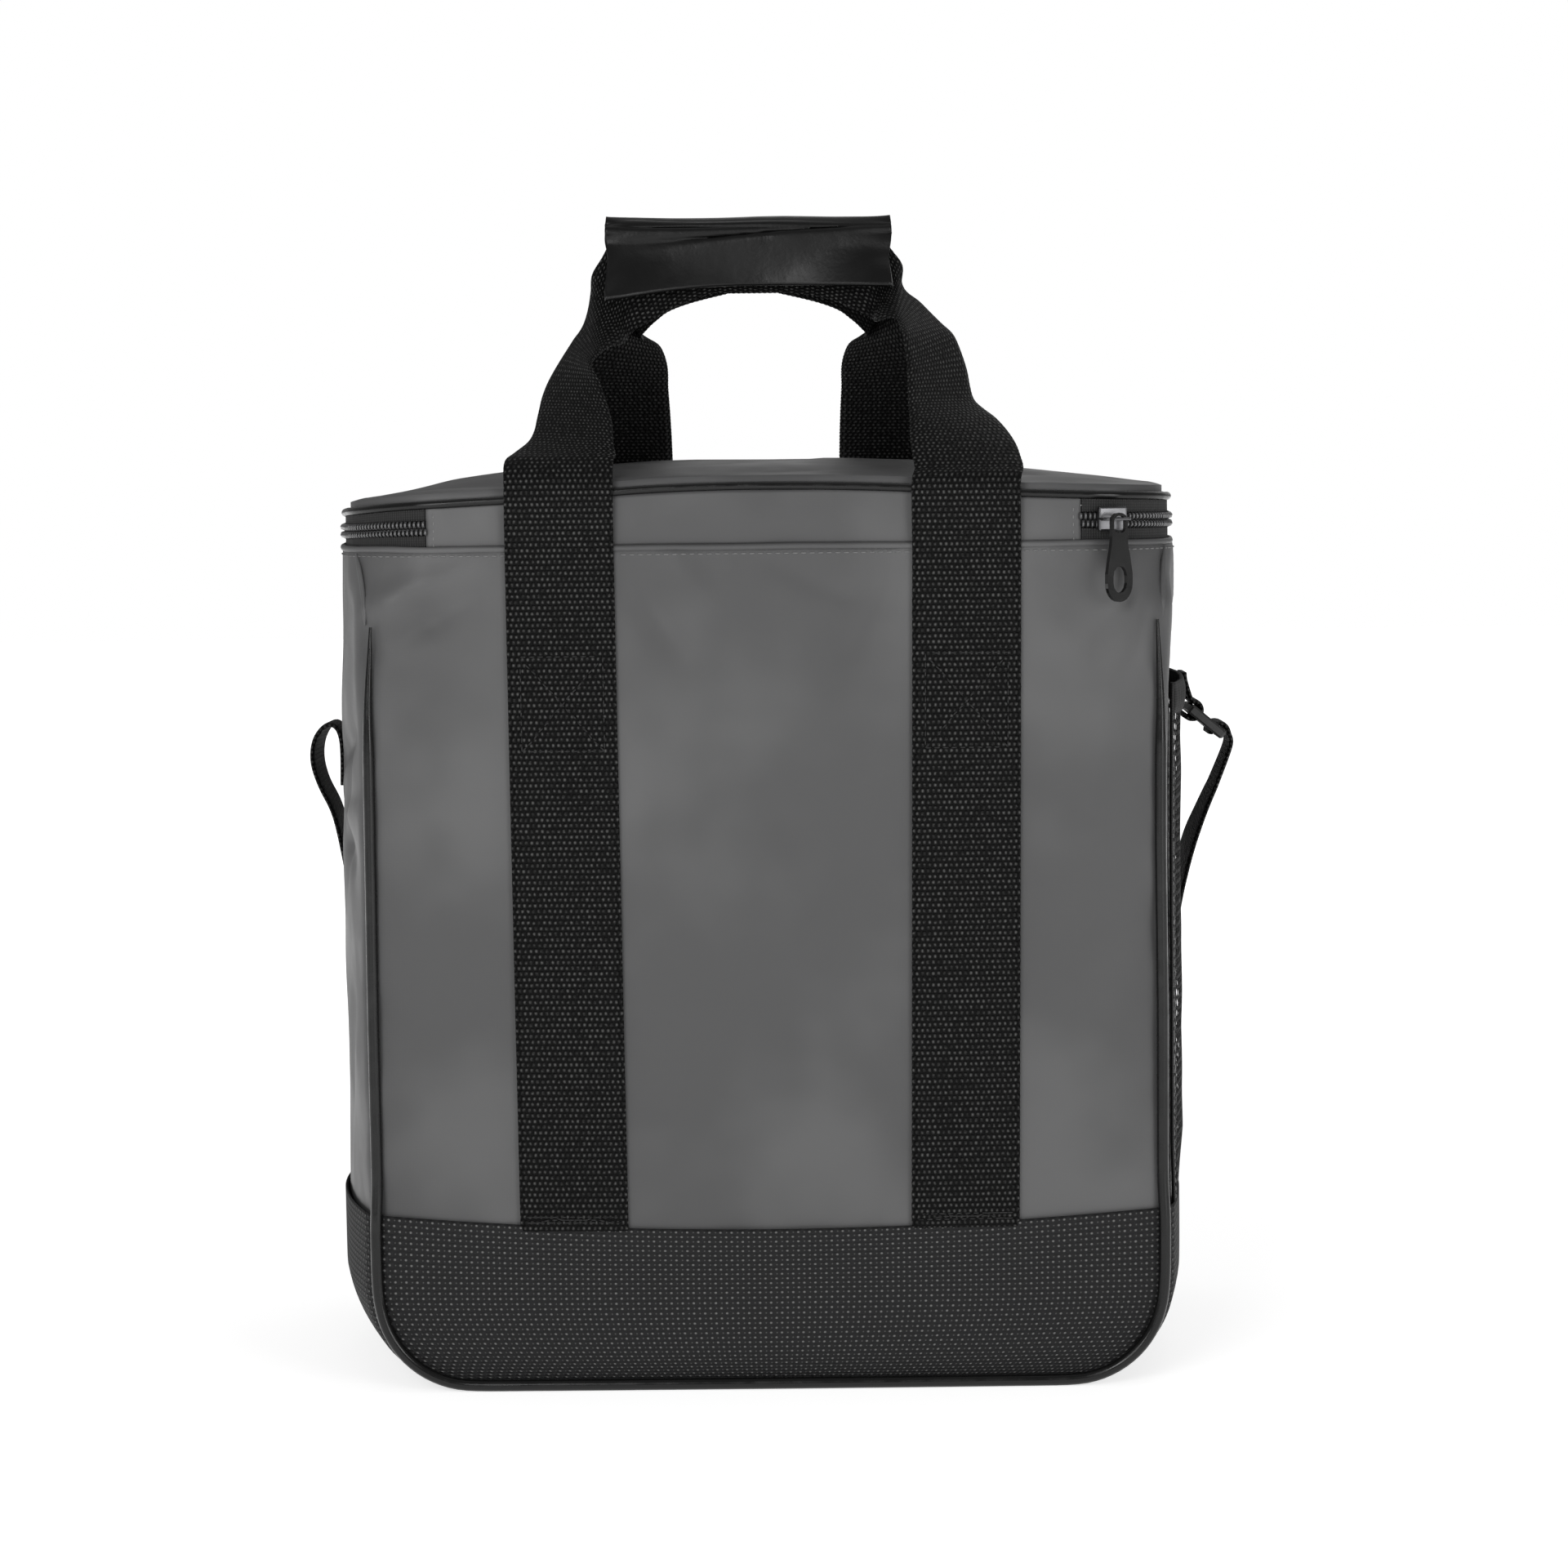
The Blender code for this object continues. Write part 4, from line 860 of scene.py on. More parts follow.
def even_edges(edges, step):
    """Edge pairs spaced evenly along the strip, on a smooth curve through the given ones."""
    table = np.array([np.concatenate(pair) for pair in edges])
    fine = np.array([catmull(table, t) for t in np.linspace(0, len(table) - 1, 12 * len(table))])
    middle = 0.5 * (fine[:, :3] + fine[:, 3:])
    run = np.concatenate([[0.0], np.cumsum(np.linalg.norm(np.diff(middle, axis=0), axis=1))])
    count = max(int(round(run[-1] / step)), 4)
    places = np.linspace(0.0, run[-1], count + 1)
    even = np.stack([np.interp(places, run, fine[:, k]) for k in range(6)], axis=1)
    for _ in range(2):
        even[1:-1] = 0.25 * even[:-2] + 0.5 * even[1:-1] + 0.25 * even[2:]
    return even[:, :3], even[:, 3:], places


def strip(name, edges, thickness, finish, step=0.001, columns=12, weave=0.0020):
    """A woven strip with rounded, slightly scalloped selvedges; its section is closed."""
    left, right, run = even_edges(edges, step)
    width_way = right - left
    width = np.linalg.norm(width_way, axis=1)
    width_way /= width[:, None]
    middle = 0.5 * (left + right)
    along = np.gradient(middle, axis=0)
    along /= np.linalg.norm(along, axis=1)[:, None]
    normal = np.cross(along, width_way)
    normal /= np.linalg.norm(normal, axis=1)[:, None]
    rows = len(run)
    section_points = []
    for j in range(columns + 1):
        s = -1 + 2 * j / columns
        s = math.copysign(abs(s) ** 0.8, s)
        section_points.append((s, 1.0))
    section_points += [(s, -1.0) for s, _ in reversed(section_points)]
    count = len(section_points)
    vertices = np.zeros((rows, count, 3))
    for k, (s, face) in enumerate(section_points):
        edge = abs(s)
        half = thickness / 2 * math.sqrt(max(1 - edge ** 10, 0.0)) if edge < 1 else thickness * 0.12
        scallop = 0.00022 * np.sin(2 * math.pi * run / weave) * (edge > 0.93)
        offset = (width / 2 + scallop) * s
        vertices[:, k] = middle + width_way * offset[:, None] + normal * (half * face)
    faces, uvs = [], []
    flat_u = [((s + 1) / 2) * width.mean() for s, _ in section_points]
    for r in range(rows - 1):
        for k in range(count):
            n = (k + 1) % count
            faces.append([r * count + k, r * count + n, (r + 1) * count + n, (r + 1) * count + k])
            uvs += [(flat_u[k], run[r]), (flat_u[n], run[r]),
                    (flat_u[n], run[r + 1]), (flat_u[k], run[r + 1])]
    for r, order in ((0, range(count - 1, -1, -1)), (rows - 1, range(count))):
        faces.append([r * count + k for k in order])
        uvs += [(flat_u[k], run[r]) for k in order]
    piece = make_object(name, vertices.reshape(-1, 3), faces, finish, uvs)
    with opened(piece) as work:
        bmesh.ops.recalc_face_normals(work, faces=work.faces)
    return piece, (middle, width_way)


# Grip and handles
GRIP_VINYL = 0.0012
GRIP_TOP = LID_TOP + 0.0970
GRIP_HEIGHT = 0.0255
GRIP_LIP = GRIP_TOP - GRIP_HEIGHT
GRIP_LENGTH = 0.104
GRIP_MIDDLE = -0.0045
GRIP_DEPTH = 0.0140
GRIP_FLARE = 0.012
GRIP_DROP = 0.0045
FRONT_SPACING = 0.142
FRONT_LEAN = 0.0045
REAR_SPACING = 0.1026
REAR_SHIFT = -0.003

FRONT_LEFT_TURN = [
    # out, back, up, yaw, pitch, wide
    (1.000, 0.064, 0.123, 0, 0, 1.00),
    (0.949, 0.220, 0.212, 35, 2, 1.00),
    (0.939, 0.361, 0.322, 43, 2, 1.00),
    (0.947, 0.482, 0.425, 50, 2, 1.00),
    (0.948, 0.570, 0.525, 59, 2, 1.00),
    (0.934, 0.637, 0.627, 72, 7, 1.00),
    (0.904, 0.725, 0.691, 77, 13, 1.00),
    (0.863, 0.774, 0.751, 79, 19, 1.00),
    (0.825, 0.851, 0.849, 71, 41, 0.84),
    (0.751, 0.945, 0.960, 24, 70, 0.81),
    (0.651, 0.958, 1.167, 16, 71, 0.91),
    (0.470, 0.963, 1.310, 15, 78, 0.76),
    (0.263, 0.978, 1.389, 0, 82, 0.62),
]
FRONT_RIGHT_TURN = [
    # out, back, up, yaw, pitch, wide
    (1.018, 0.064, 0.072, 0, 0, 1.00),
    (0.999, 0.190, 0.187, 12, 0, 1.00),
    (0.955, 0.340, 0.309, 35, 2, 1.00),
    (0.904, 0.470, 0.406, 50, 1, 1.00),
    (0.890, 0.565, 0.540, 54, 4, 1.00),
    (0.860, 0.637, 0.678, 60, 11, 1.00),
    (0.823, 0.690, 0.766, 66, 7, 1.00),
    (0.751, 0.785, 0.864, 76, 15, 0.92),
    (0.692, 0.830, 0.924, 79, 27, 0.76),
    (0.627, 0.945, 1.017, 29, 72, 0.70),
    (0.547, 0.956, 1.218, 21, 73, 0.78),
    (0.333, 0.964, 1.351, 20, 84, 0.68),
    (0.126, 0.978, 1.389, 0, 88, 0.62),
]
REAR_TURN = [
    # out, back, up, yaw, pitch, wide
    (1.000, 0.064, 0.112, 0, 0, 1.00),
    (1.000, 0.200, 0.252, 4, 0, 1.00),
    (1.000, 0.340, 0.387, 10, 0, 1.00),
    (0.990, 0.480, 0.521, 20, 1, 1.00),
    (0.943, 0.600, 0.640, 36, 4, 1.00),
    (0.910, 0.690, 0.760, 54, 8, 1.00),
    (0.922, 0.760, 0.849, 66, 20, 1.00),
    (0.906, 0.865, 0.931, 66, 46, 0.85),
    (0.840, 0.920, 1.017, 45, 62, 0.80),
    (0.700, 0.954, 1.222, 20, 74, 0.78),
    (0.470, 0.966, 1.322, 10, 80, 0.70),
    (0.180, 0.978, 1.389, 0, 88, 0.62),
]
WALL_SHARES = (0.25, 0.35, 0.45, 0.55, 0.65, 0.735, 0.82, 0.93, 1.0)


def strap_height(up):
    if up <= 1:
        return blend_value(LID_TOP, GRIP_LIP, up)
    return blend_value(GRIP_LIP, GRIP_TOP, up - 1)


def handle_edges(rows, side, face, spacing, shift, lean):
    """One strap's edge pairs from the boot up into the grip; outer edge last."""
    edges = []
    heights = [BOOT_HEIGHT + GAP] + [HEIGHT * share for share in WALL_SHARES] + [LID_TOP]
    for z in heights:
        pair = []
        closer = lean / 2 * min((HEIGHT - z) / (HEIGHT - BOOT_HEIGHT), 1.0) if z < HEIGHT else 0.0
        for across in (-0.5, 0.5):
            x = shift + side * (spacing / 2 - closer + across * WEB_WIDTH)
            pair.append(np.array([x, face * (abs(face_y(x, z)) + GAP + WEB_CLOTH / 2), z]))
        edges.append(tuple(pair))
    start_y = DEPTH / 2 + WEB_CLOTH
    table = [rows[0]] + [catmull(rows, t) for t in np.arange(0.5, len(rows) - 0.5, 0.5)] + [rows[-1]]
    for out, back, up, yaw, pitch, wide in table:
        centre = (shift + side * out * spacing / 2, face * start_y * (1 - back), strap_height(up))
        outward = yaw if side > 0 else 180 - yaw
        edges.append(edge_pair(centre, WEB_WIDTH * wide, -face * outward, pitch))
    return edges


def stitch(start, stop, out, radius):
    """One stitch: a short thread that dips at both ends, as a six-sided spindle."""
    start, stop, out = (np.asarray(v, dtype=float) for v in (start, stop, out))
    run = stop - start
    length = np.linalg.norm(run)
    run = run / length
    side = np.cross(run, out)
    side /= np.linalg.norm(side)
    up = np.cross(side, run)
    points, faces = [], []
    rings = [(0.0, 0.35, -0.6), (0.22, 1.0, 0.35), (0.78, 1.0, 0.35), (1.0, 0.35, -0.6)]
    for t, size, lift in rings:
        for k in range(6):
            a = 2 * math.pi * k / 6
            points.append(start + run * length * t + up * radius * lift
                          + size * radius * (side * math.cos(a) + up * math.sin(a)))
    for r in range(3):
        for k in range(6):
            n = (k + 1) % 6
            faces.append([r * 6 + k, r * 6 + n, r * 6 + 6 + n, r * 6 + 6 + k])
    faces.append([5, 4, 3, 2, 1, 0])
    faces.append([18, 19, 20, 21, 22, 23])
    return points, faces


def stitch_row(points, outs, pitch, share, radius):
    """Stitches of a share of their pitch along a line of points with outward directions."""
    points, outs = np.asarray(points), np.asarray(outs)
    run = np.concatenate([[0.0], np.cumsum(np.linalg.norm(np.diff(points, axis=0), axis=1))])
    made = []
    for i in range(int(run[-1] / pitch)):
        ends = []
        for place in (i * pitch, (i + share) * pitch):
            ends.append(np.array([np.interp(place, run, points[:, k]) for k in range(3)]))
        out = np.array([np.interp(i * pitch, run, outs[:, k]) for k in range(3)])
        made.append(stitch(ends[0], ends[1], out, radius))
    return made


def strap_stitches(frame_lines, face, heights, half):
    """Box and cross of black thread that holds a strap on its panel."""
    middle, width_way = frame_lines
    low, high = heights
    made = []
    outward = np.array([0.0, face, 0.0])

    def spot(across, z):
        i = int(np.argmin(np.abs(middle[:, 2] - z) + (np.abs(middle[:, 1]) < 0.07) * 1.0))
        return middle[i] + width_way[i] * across + outward * (WEB_CLOTH / 2 + 0.0001)

    corners = [(-half, low), (half, low), (half, high), (-half, high), (-half, low)]
    lines = list(zip(corners, corners[1:])) + [((-half, low), (half, high)), ((half, low), (-half, high))]
    for (a0, z0), (a1, z1) in lines:
        steps = 14
        points = [spot(blend_value(a0, a1, i / steps), blend_value(z0, z1, i / steps))
                  for i in range(steps + 1)]
        made += stitch_row(points, [outward] * len(points), *STRAP_STITCH)
    return made


def build_handle(name, node, left_rows, right_rows, face, spacing, shift, lean):
    chunks = []
    left = handle_edges(left_rows, -1, face, spacing, shift, lean)
    right = handle_edges(right_rows, 1, face, spacing, shift, lean)
    piece, lines = strip(name, left + right[::-1], WEB_CLOTH, WEBBING)
    ride_root(piece, "webbing", node)
    half_way = len(lines[0]) // 2
    for start, stop in ((0, half_way), (half_way, None)):
        part_lines = tuple(values[start:stop] for values in lines)
        chunks += strap_stitches(part_lines, face, (0.226, 0.259), WEB_WIDTH * 0.38)
        chunks += strap_stitches(part_lines, face, (0.0605, 0.0625), WEB_WIDTH * 0.44)
    ride_root(joined(name + "_stitches", chunks, BLACK_THREAD), "webbing")


build_handle("front_handle", "front_handle_webbing", FRONT_LEFT_TURN, FRONT_RIGHT_TURN, -1,
             FRONT_SPACING, 0.0, FRONT_LEAN)
build_handle("rear_handle", "rear_handle_webbing", REAR_TURN, REAR_TURN, 1,
             REAR_SPACING, REAR_SHIFT, 0.0)

# Lid, hinge strip and zip


def rim_lift(x, y):
    """The lid's rim rides up in the middle of the front and sags at its ends."""
    frontal = min(max((-y - DEPTH * 0.25) / (DEPTH * 0.22), 0.0), 1.0)
    across = (x - 0.004) / (WIDTH / 2)
    bow = 0.0036 * math.exp(-(abs(across) / 0.45) ** 3)
    end = min(max((abs(across) - 0.50) / 0.50, 0.0), 1.1)
    sag = (0.0030 if x < 0 else 0.0016) * end ** 1.4
    deep = (1 - min(abs(y) / (DEPTH / 2), 1.0) ** 2) * min(max((abs(across) - 0.9) / 0.12, 0.0), 1.0)
    return frontal * bow - sag - deep * (0.0018 if x < 0 else 0.0004)


LID_GROW = -(2 * PIPING_RADIUS + GAP)
LID_PROFILE = [
    # reach: share of the way to the edge; rise: share of LID_CROWN
    (1.0, 0.0), (0.985, 0.05), (0.94, 0.14), (0.82, 0.38),
    (0.64, 0.70), (0.40, 0.93), (0.16, 1.0), (0.0, 1.01),
]
LID_FOLDS = [
    # x0, y0, x1, y1, half width, depth
    (-0.128, -0.060, -0.085, -0.072, 0.0080, -0.0016),
    (-0.110, -0.020, -0.060, -0.062, 0.0120, 0.0014),
    (-0.095, 0.050, -0.040, 0.070, 0.0090, -0.0014),
    (-0.020, -0.070, 0.030, -0.058, 0.0090, -0.0012),
    (0.040, 0.040, 0.095, 0.060, 0.0110, -0.0014),
    (0.085, -0.062, 0.126, -0.048, 0.0080, -0.0014),
    (-0.040, 0.005, 0.050, -0.010, 0.0200, 0.0012),
]


def lid_relief(x, y, share):
    total = 0.0006 * cloudy(x, y, 0.0, 15.0, 21.0) + 0.0004 * cloudy(x, y, 0.0, 40.0, 23.0)
    for x0, y0, x1, y1, half, depth in LID_FOLDS:
        total += depth * fold_height(x, y, x0, y0, x1, y1, half)[1]
    edge = math.exp(-((1 - share) / 0.07))
    total += 0.0006 * edge * cloudy(x, y, 0.0, 90.0, 27.0)
    return total * min((1 - share) / 0.03, 1.0)


def build_lid():
    """The padded lid: a dome with shallow creases, puckered where it is bound."""
    ring, _ = plan_ring(HEIGHT, LID_GROW)
    centre = ring.mean(axis=0)
    rings = []
    low = ring.copy()
    for point in low:
        point[2] = LID_BASE + rim_lift(point[0], point[1])
    rings.append(low)
    table = np.array(LID_PROFILE[:-1])
    steps = 46
    for i in range(steps + 1):
        reach, rise = catmull(table, (len(table) - 1) * i / steps)
        row = ring.copy()
        for point in row:
            away_x, away_y = point[0] - centre[0], point[1]
            x, y = centre[0] + away_x * reach, away_y * reach
            lift = rim_lift(point[0], point[1]) * reach ** 2
            z = LID_BASE + LID_EDGE + LID_CROWN * rise + lift + lid_relief(x, y, min(reach, 1.0))
            point[:] = (x, y, z)
        rings.append(row)
    piece = grid_object("lid_cloth", rings, GREY, closed=True)
    with opened(piece) as work:
        top = (len(rings) - 1) * len(ring)
        work.faces.new([work.verts[top + i] for i in range(len(ring))])
        map_from_above(work, work.faces)
    add_wall(piece, LID_EDGE - 0.0003)
    ride_root(piece, "grey_cloth", "lid_panel")


def build_lid_piping():
    ring, _ = plan_ring(HEIGHT, LID_GROW + GAP + PIPING_RADIUS)
    line = [(x, y, LID_BASE + 0.0009 + rim_lift(x, y) + 0.0004 * cloudy(x, y, 0.0, 30.0, 31.0))
            for x, y, _ in ring]
    piece = tube_object("lid_cord", line, LID_CORD, PIPING, cyclic=True, resolution=5)
    ride_root(piece, "piping_vinyl", "lid_piping")


def rim_run(grow, start_x, stop_x):
    """The hem's outline from start_x on the front, round the right and the back, to stop_x."""
    ring, normals = plan_ring(HEIGHT, grow)
    count = len(ring)
    front = [i for i in range(count) if ring[i][1] < -DEPTH * 0.4]
    first = min(range(count), key=lambda i: math.hypot(ring[i][0] - start_x, ring[i][1] + DEPTH / 2))
    run = []
    for k in range(count + 1):
        i = (first + k) % count
        x = ring[i][0]
        if i in front and start_x > x > stop_x:
            continue
        run.append((ring[i], normals[i]))
    points = np.array([p for p, _ in run])
    outs = np.array([n for _, n in run])
    order = np.argsort([0 if p[0] > start_x or p[1] > -DEPTH * 0.4 else 1 for p in points], kind="stable")
    points, outs = points[order], outs[order]
    keep = [0]
    for i in range(1, len(points)):
        if np.linalg.norm(points[i] - points[keep[-1]]) > 0.0002:
            keep.append(i)
    points, outs = points[keep], outs[keep]
    for end, x in ((0, start_x), (-1, stop_x)):
        points[end][0] = x
    return points, outs


def even_run(points, outs, step):
    run = np.concatenate([[0.0], np.cumsum(np.linalg.norm(np.diff(points, axis=0), axis=1))])
    count = max(int(run[-1] / step), 2)
    places = np.linspace(0.0, run[-1], count + 1)
    points = np.stack([np.interp(places, run, points[:, k]) for k in range(3)], axis=1)
    outs = np.stack([np.interp(places, run, outs[:, k]) for k in range(3)], axis=1)
    outs /= np.linalg.norm(outs, axis=1)[:, None]
    return points, outs


def zip_height(low, x, y):
    """Heights in the zip zone stretch with the lid's rim."""
    share = (low - HEIGHT) / (LID_BASE - HEIGHT)
    return low + rim_lift(x, y) * share


def standing_cloth(name, finish, grow, start_x, stop_x, low, high, cloth, wave, rows=6):
    points, outs = rim_run(grow, start_x, stop_x)
    points, outs = even_run(points, outs, 0.0015)
    grid = []
    for r in range(rows + 1):
        row = []
        for point, out in zip(points, outs):
            z = zip_height(blend_value(low, high, r / rows), point[0], point[1])
            place = point + out * wave * cloudy(point[0], point[1], z, 55.0, 41.0)
            row.append((place[0], place[1], z))
        grid.append(row)
    piece = grid_object(name, grid, finish)
    add_wall(piece, cloth)
    return piece


def build_zip():
    """Two tapes with a closed coil between them."""
    start, stop = HINGE_TO + GAP, HINGE_FROM - GAP
    for name, node, slot_name, grow, low, high, cloth, wave in (
            ("lower_tape", "zip_tape_lower", "zip_cloth", -ZIP_INSET, TAPE_LOW, CHAIN_LOW - GAP,
             TAPE_CLOTH, 0.0003),
            ("upper_tape", "zip_tape_upper", "zip_cloth", -ZIP_INSET, TAPE_HIGH, LID_BASE - GAP,
             TAPE_CLOTH, 0.0003),
            ("coil_bed", "zip_chain", "zip_teeth", -ZIP_INSET - 0.0004, CHAIN_LOW,
             CHAIN_LOW + CHAIN_HEIGHT, 0.0012, 0.0)):
        piece = standing_cloth(name, TAPE, grow, start, stop, low, high, cloth, wave)
        ride_root(piece, slot_name, node)
    points, outs = rim_run(-ZIP_INSET, start, stop)
    points, outs = even_run(points, outs, 0.0016)
    chunks = []
    for point, out in zip(points, outs):
        along = np.cross(out, (0.0, 0.0, 1.0))
        for side in (-1, 1):
            z = zip_height(CHAIN_LOW + CHAIN_HEIGHT / 2, point[0], point[1])
            shift = along * (0.0004 * side)
            chunks.append(coil_turn(point + shift, out, along, z, side))
    ride_root(joined("coil_teeth", chunks, TEETH), "zip_teeth")


def coil_turn(point, out, along, z, side):
    """One turn of the coil: a bent wire from the middle of the chain to its edge."""
    wire = 0.00048
    stops = [(0.2, 0.0002), (0.55, 0.0011), (1.6, 0.0014), (2.3, 0.0009), (2.5, 0.0)]
    points, faces = [], []
    for k, (away, lift) in enumerate(stops):
        middle = np.array([point[0], point[1], z + side * away / 1000]) + out * lift
        for c in range(6):
            a = 2 * math.pi * c / 6
            round_way = out * math.cos(a) + along * math.sin(a)
            if k == 0 or k == len(stops) - 1:
                round_way = 0.7 * (np.array([0, 0, 1.0]) * math.cos(a) * side + along * math.sin(a))
            points.append(middle + wire * round_way)
    for k in range(len(stops) - 1):
        for c in range(6):
            n = (c + 1) % 6
            faces.append([k * 6 + c, k * 6 + n, k * 6 + 6 + n, k * 6 + 6 + c])
    faces.append([5, 4, 3, 2, 1, 0])
    last = (len(stops) - 1) * 6
    faces.append([last + c for c in range(6)])
    return points, faces


def build_hinge():
    """The strip of lid cloth that joins lid and body in front, sewn at both ends."""
    xs = np.linspace(HINGE_FROM, HINGE_TO, 190)
    grid = []
    rows = 14
    for r in range(rows + 1):
        row = []
        for x in xs:
            share = r / rows
            ring_y = front_rim_y(x)
            z = zip_height(blend_value(TAPE_LOW, LID_BASE - GAP, share), x, -DEPTH / 2)
            bulge = 0.0007 * math.sin(math.pi * share) + 0.0005 * cloudy(x, 0.0, z, 60.0, 51.0)
            bulge *= min((x - HINGE_FROM) / 0.006, (HINGE_TO - x) / 0.006, 1.0)
            bulge *= 0.3 + 0.7 * under_strap(x, -1)
            row.append((x, ring_y - bulge, z))
        grid.append(row)
    piece = grid_object("hinge_cloth", grid, GREY)
    add_wall(piece, HINGE_CLOTH)
    ride_root(piece, "grey_cloth", "hinge_strip")
    made = []
    for x in (HINGE_FROM + 0.0026, HINGE_TO - 0.0026):
        heights = [blend_value(TAPE_LOW, LID_BASE, i / 8) for i in range(9)]
        line = [(x, front_rim_y(x) - 0.0001, zip_height(z, x, -DEPTH / 2)) for z in heights]
        made += stitch_row(line, [(0, -1, 0)] * 9, *HINGE_STITCH)
    thread = joined("hinge_stitches", made, THREAD, mapped=True)
    ride_root(thread, "grey_cloth")


def front_rim_y(x):
    """The front outline at the hem, set in as the zip is."""
    half = WIDTH / 2 * section(HEIGHT)[1 if x < 0 else 2] - HEM_RADIUS
    away = max(abs(x) - half, 0.0)
    y = -(DEPTH / 2 - HEM_RADIUS) - math.sqrt(max(HEM_RADIUS ** 2 - away ** 2, 0.0))
    _, swollen = swell_point(x, y, HEIGHT)
    return swollen + ZIP_INSET


def build_hem_stitches():
    """A line of stitches under the hem, all round."""
    ring, normals = plan_ring(HEIGHT - 0.0026, 0.00015)
    line, outs = [], []
    for i in list(range(len(ring))) + [0]:
        line.append(ring[i] + normals[i] * cloth_relief(*ring[i], normals[i][0], normals[i][1]))
        outs.append(normals[i])
    made = stitch_row(line, outs, *HEM_STITCH)
    made = [chunk for chunk in made if clear_of_straps(chunk[0][0])]
    thread = joined("hem_stitches", made, THREAD, mapped=True)
    ride_root(thread, "grey_cloth")


def clear_of_straps(point):
    return under_strap(point[0], point[1]) > 0.02 or abs(point[1]) < DEPTH * 0.4


def build_hem_fold():
    """The turned edge of the body cloth, a soft round ridge against hinge strip and tape."""
    ring, _ = plan_ring(HEIGHT, -0.0008)
    line = [(x, y, HEIGHT - 0.0003 + 0.0003 * cloudy(x, y, 0.0, 60.0, 81.0)) for x, y, _ in ring]
    ridge = tube_object("hem_fold", line, 0.0012, GREY, cyclic=True)
    ride_root(ridge, "grey_cloth")


def build_corner_seams():
    """Grey seam welts between the hem and the tips of the piping."""
    for sx in (-1, 1):
        for sy in (-1, 1):
            line = []
            for i in range(25):
                z = blend_value(PIPING_TOP + 0.0005, HEIGHT - 0.0015, i / 24)
                x, y, _ = seam_corner(z, sx, 50, 22)
                x, y = swell_point(x, sy * y, z)
                line.append((x + sx * 0.0002, y + sy * 0.0002, z))
            name = f"seam_welt_{'l' if sx < 0 else 'r'}{'f' if sy < 0 else 'b'}"
            ends = [min(1.0, 0.3 + 0.7 * min(i, 24 - i) / 5) for i in range(25)]
            welt = tube_object(name, line, WELT_RADIUS, GREY, ends=ends)
            ride_root(welt, "grey_cloth")


build_hem_fold()
build_corner_seams()
build_lid()
build_lid_piping()
build_hinge()
build_zip()
build_hem_stitches()

# Grip wrap


def grip_section(along, points=64):
    """The wrap's outline at a share of its half length, front lip to rear lip."""
    half = GRIP_DEPTH / 2
    flare = GRIP_FLARE * along ** 2
    lip = GRIP_LIP - GRIP_DROP * max(-along, 0.0) ** 2 + 0.0006 * math.cos(along * 2.4)
    height = GRIP_TOP - lip
    skirt = [(half + flare, 0.0), (half + flare * 0.55, 0.28), (half + flare * 0.12, 0.55)]
    front = [(-reach, lip + height * rise) for reach, rise in skirt]
    arch = [(-half * math.cos(math.radians(a)), GRIP_TOP - half + half * math.sin(math.radians(a)))
            for a in (0, 22, 45, 67, 90, 113, 135, 158, 180)]
    rear = [(-y, z) for y, z in reversed(front)]
    table = np.array(front + arch + rear)
    return [catmull(table, t) for t in np.linspace(0, len(table) - 1, points)]


def wrap_relief(along, share, x, z):
    """Long soft creases and pulls towards the stitched ends."""
    total = 0.0006 * cloudy(x * 0.5, share * 0.03, z, 70.0, 61.0) - 0.0007 * (abs(share - 0.5) < 0.2)
    end = math.exp(-(1 - abs(along)) / 0.10)
    total += 0.0007 * end * math.sin(share * 46.0 + 3.0 * cloudy(x, 0.0, z, 40.0, 63.0))
    for place, tilt, depth in ((0.24, 0.05, -0.0012), (0.33, -0.06, 0.0009), (0.71, 0.05, -0.0011)):
        away = share - place - tilt * along - 0.02 * math.sin(along * 3.0)
        total += depth * math.exp(-(away / 0.022) ** 2) * (0.5 + 0.5 * math.cos(along * 1.8))
    return total


def build_wrap():
    stations = 110
    grid = []
    for i in range(stations + 1):
        along = -1 + 2 * i / stations
        outline = grip_section(along)
        x = GRIP_MIDDLE + along * GRIP_LENGTH / 2
        row = []
        for k, (y, z) in enumerate(outline):
            before, after = outline[max(k - 1, 0)], outline[min(k + 1, len(outline) - 1)]
            way = np.array([after[1] - before[1], -(after[0] - before[0])])
            way = -way / max(np.linalg.norm(way), 1e-9)
            push = wrap_relief(along, k / (len(outline) - 1), x, z)
            end_shift = 0.0010 * math.copysign(abs(along) ** 12, along) * cloudy(0.0, y, z, 90.0, 65.0)
            row.append((x + end_shift, y + way[0] * push, z + way[1] * push))
        grid.append(row)
    piece = grid_object("wrap_vinyl_cover", grid, WRAP)
    add_wall(piece, GRIP_VINYL)
    ride_root(piece, "wrap_vinyl", "grip_wrap")
    points = np.array(grid)
    made = []
    last = len(points) - 1
    for column in (2, 5, last - 5, last - 2):
        line = points[column]
        ways = np.gradient(line, axis=0)
        outs = np.stack([np.zeros(len(line)), ways[:, 2], -ways[:, 1]], axis=1)
        outs = -outs / np.maximum(np.linalg.norm(outs, axis=1), 1e-9)[:, None]
        made += stitch_row(line + outs * 0.0001, outs, *WRAP_STITCH)
    thread = joined("wrap_stitches", made, BLACK_THREAD)
    ride_root(thread, "wrap_vinyl")


# Net pocket: black threads in staggered six-sided cells over the grey gusset

POCKET_FOOT = BOOT_HEIGHT + GAP
POCKET_NET = 0.0010
BINDING_HEIGHT = 0.0110
BINDING_CLOTH = 0.0012
CELL = 0.0044
NET_THREAD = 0.00030


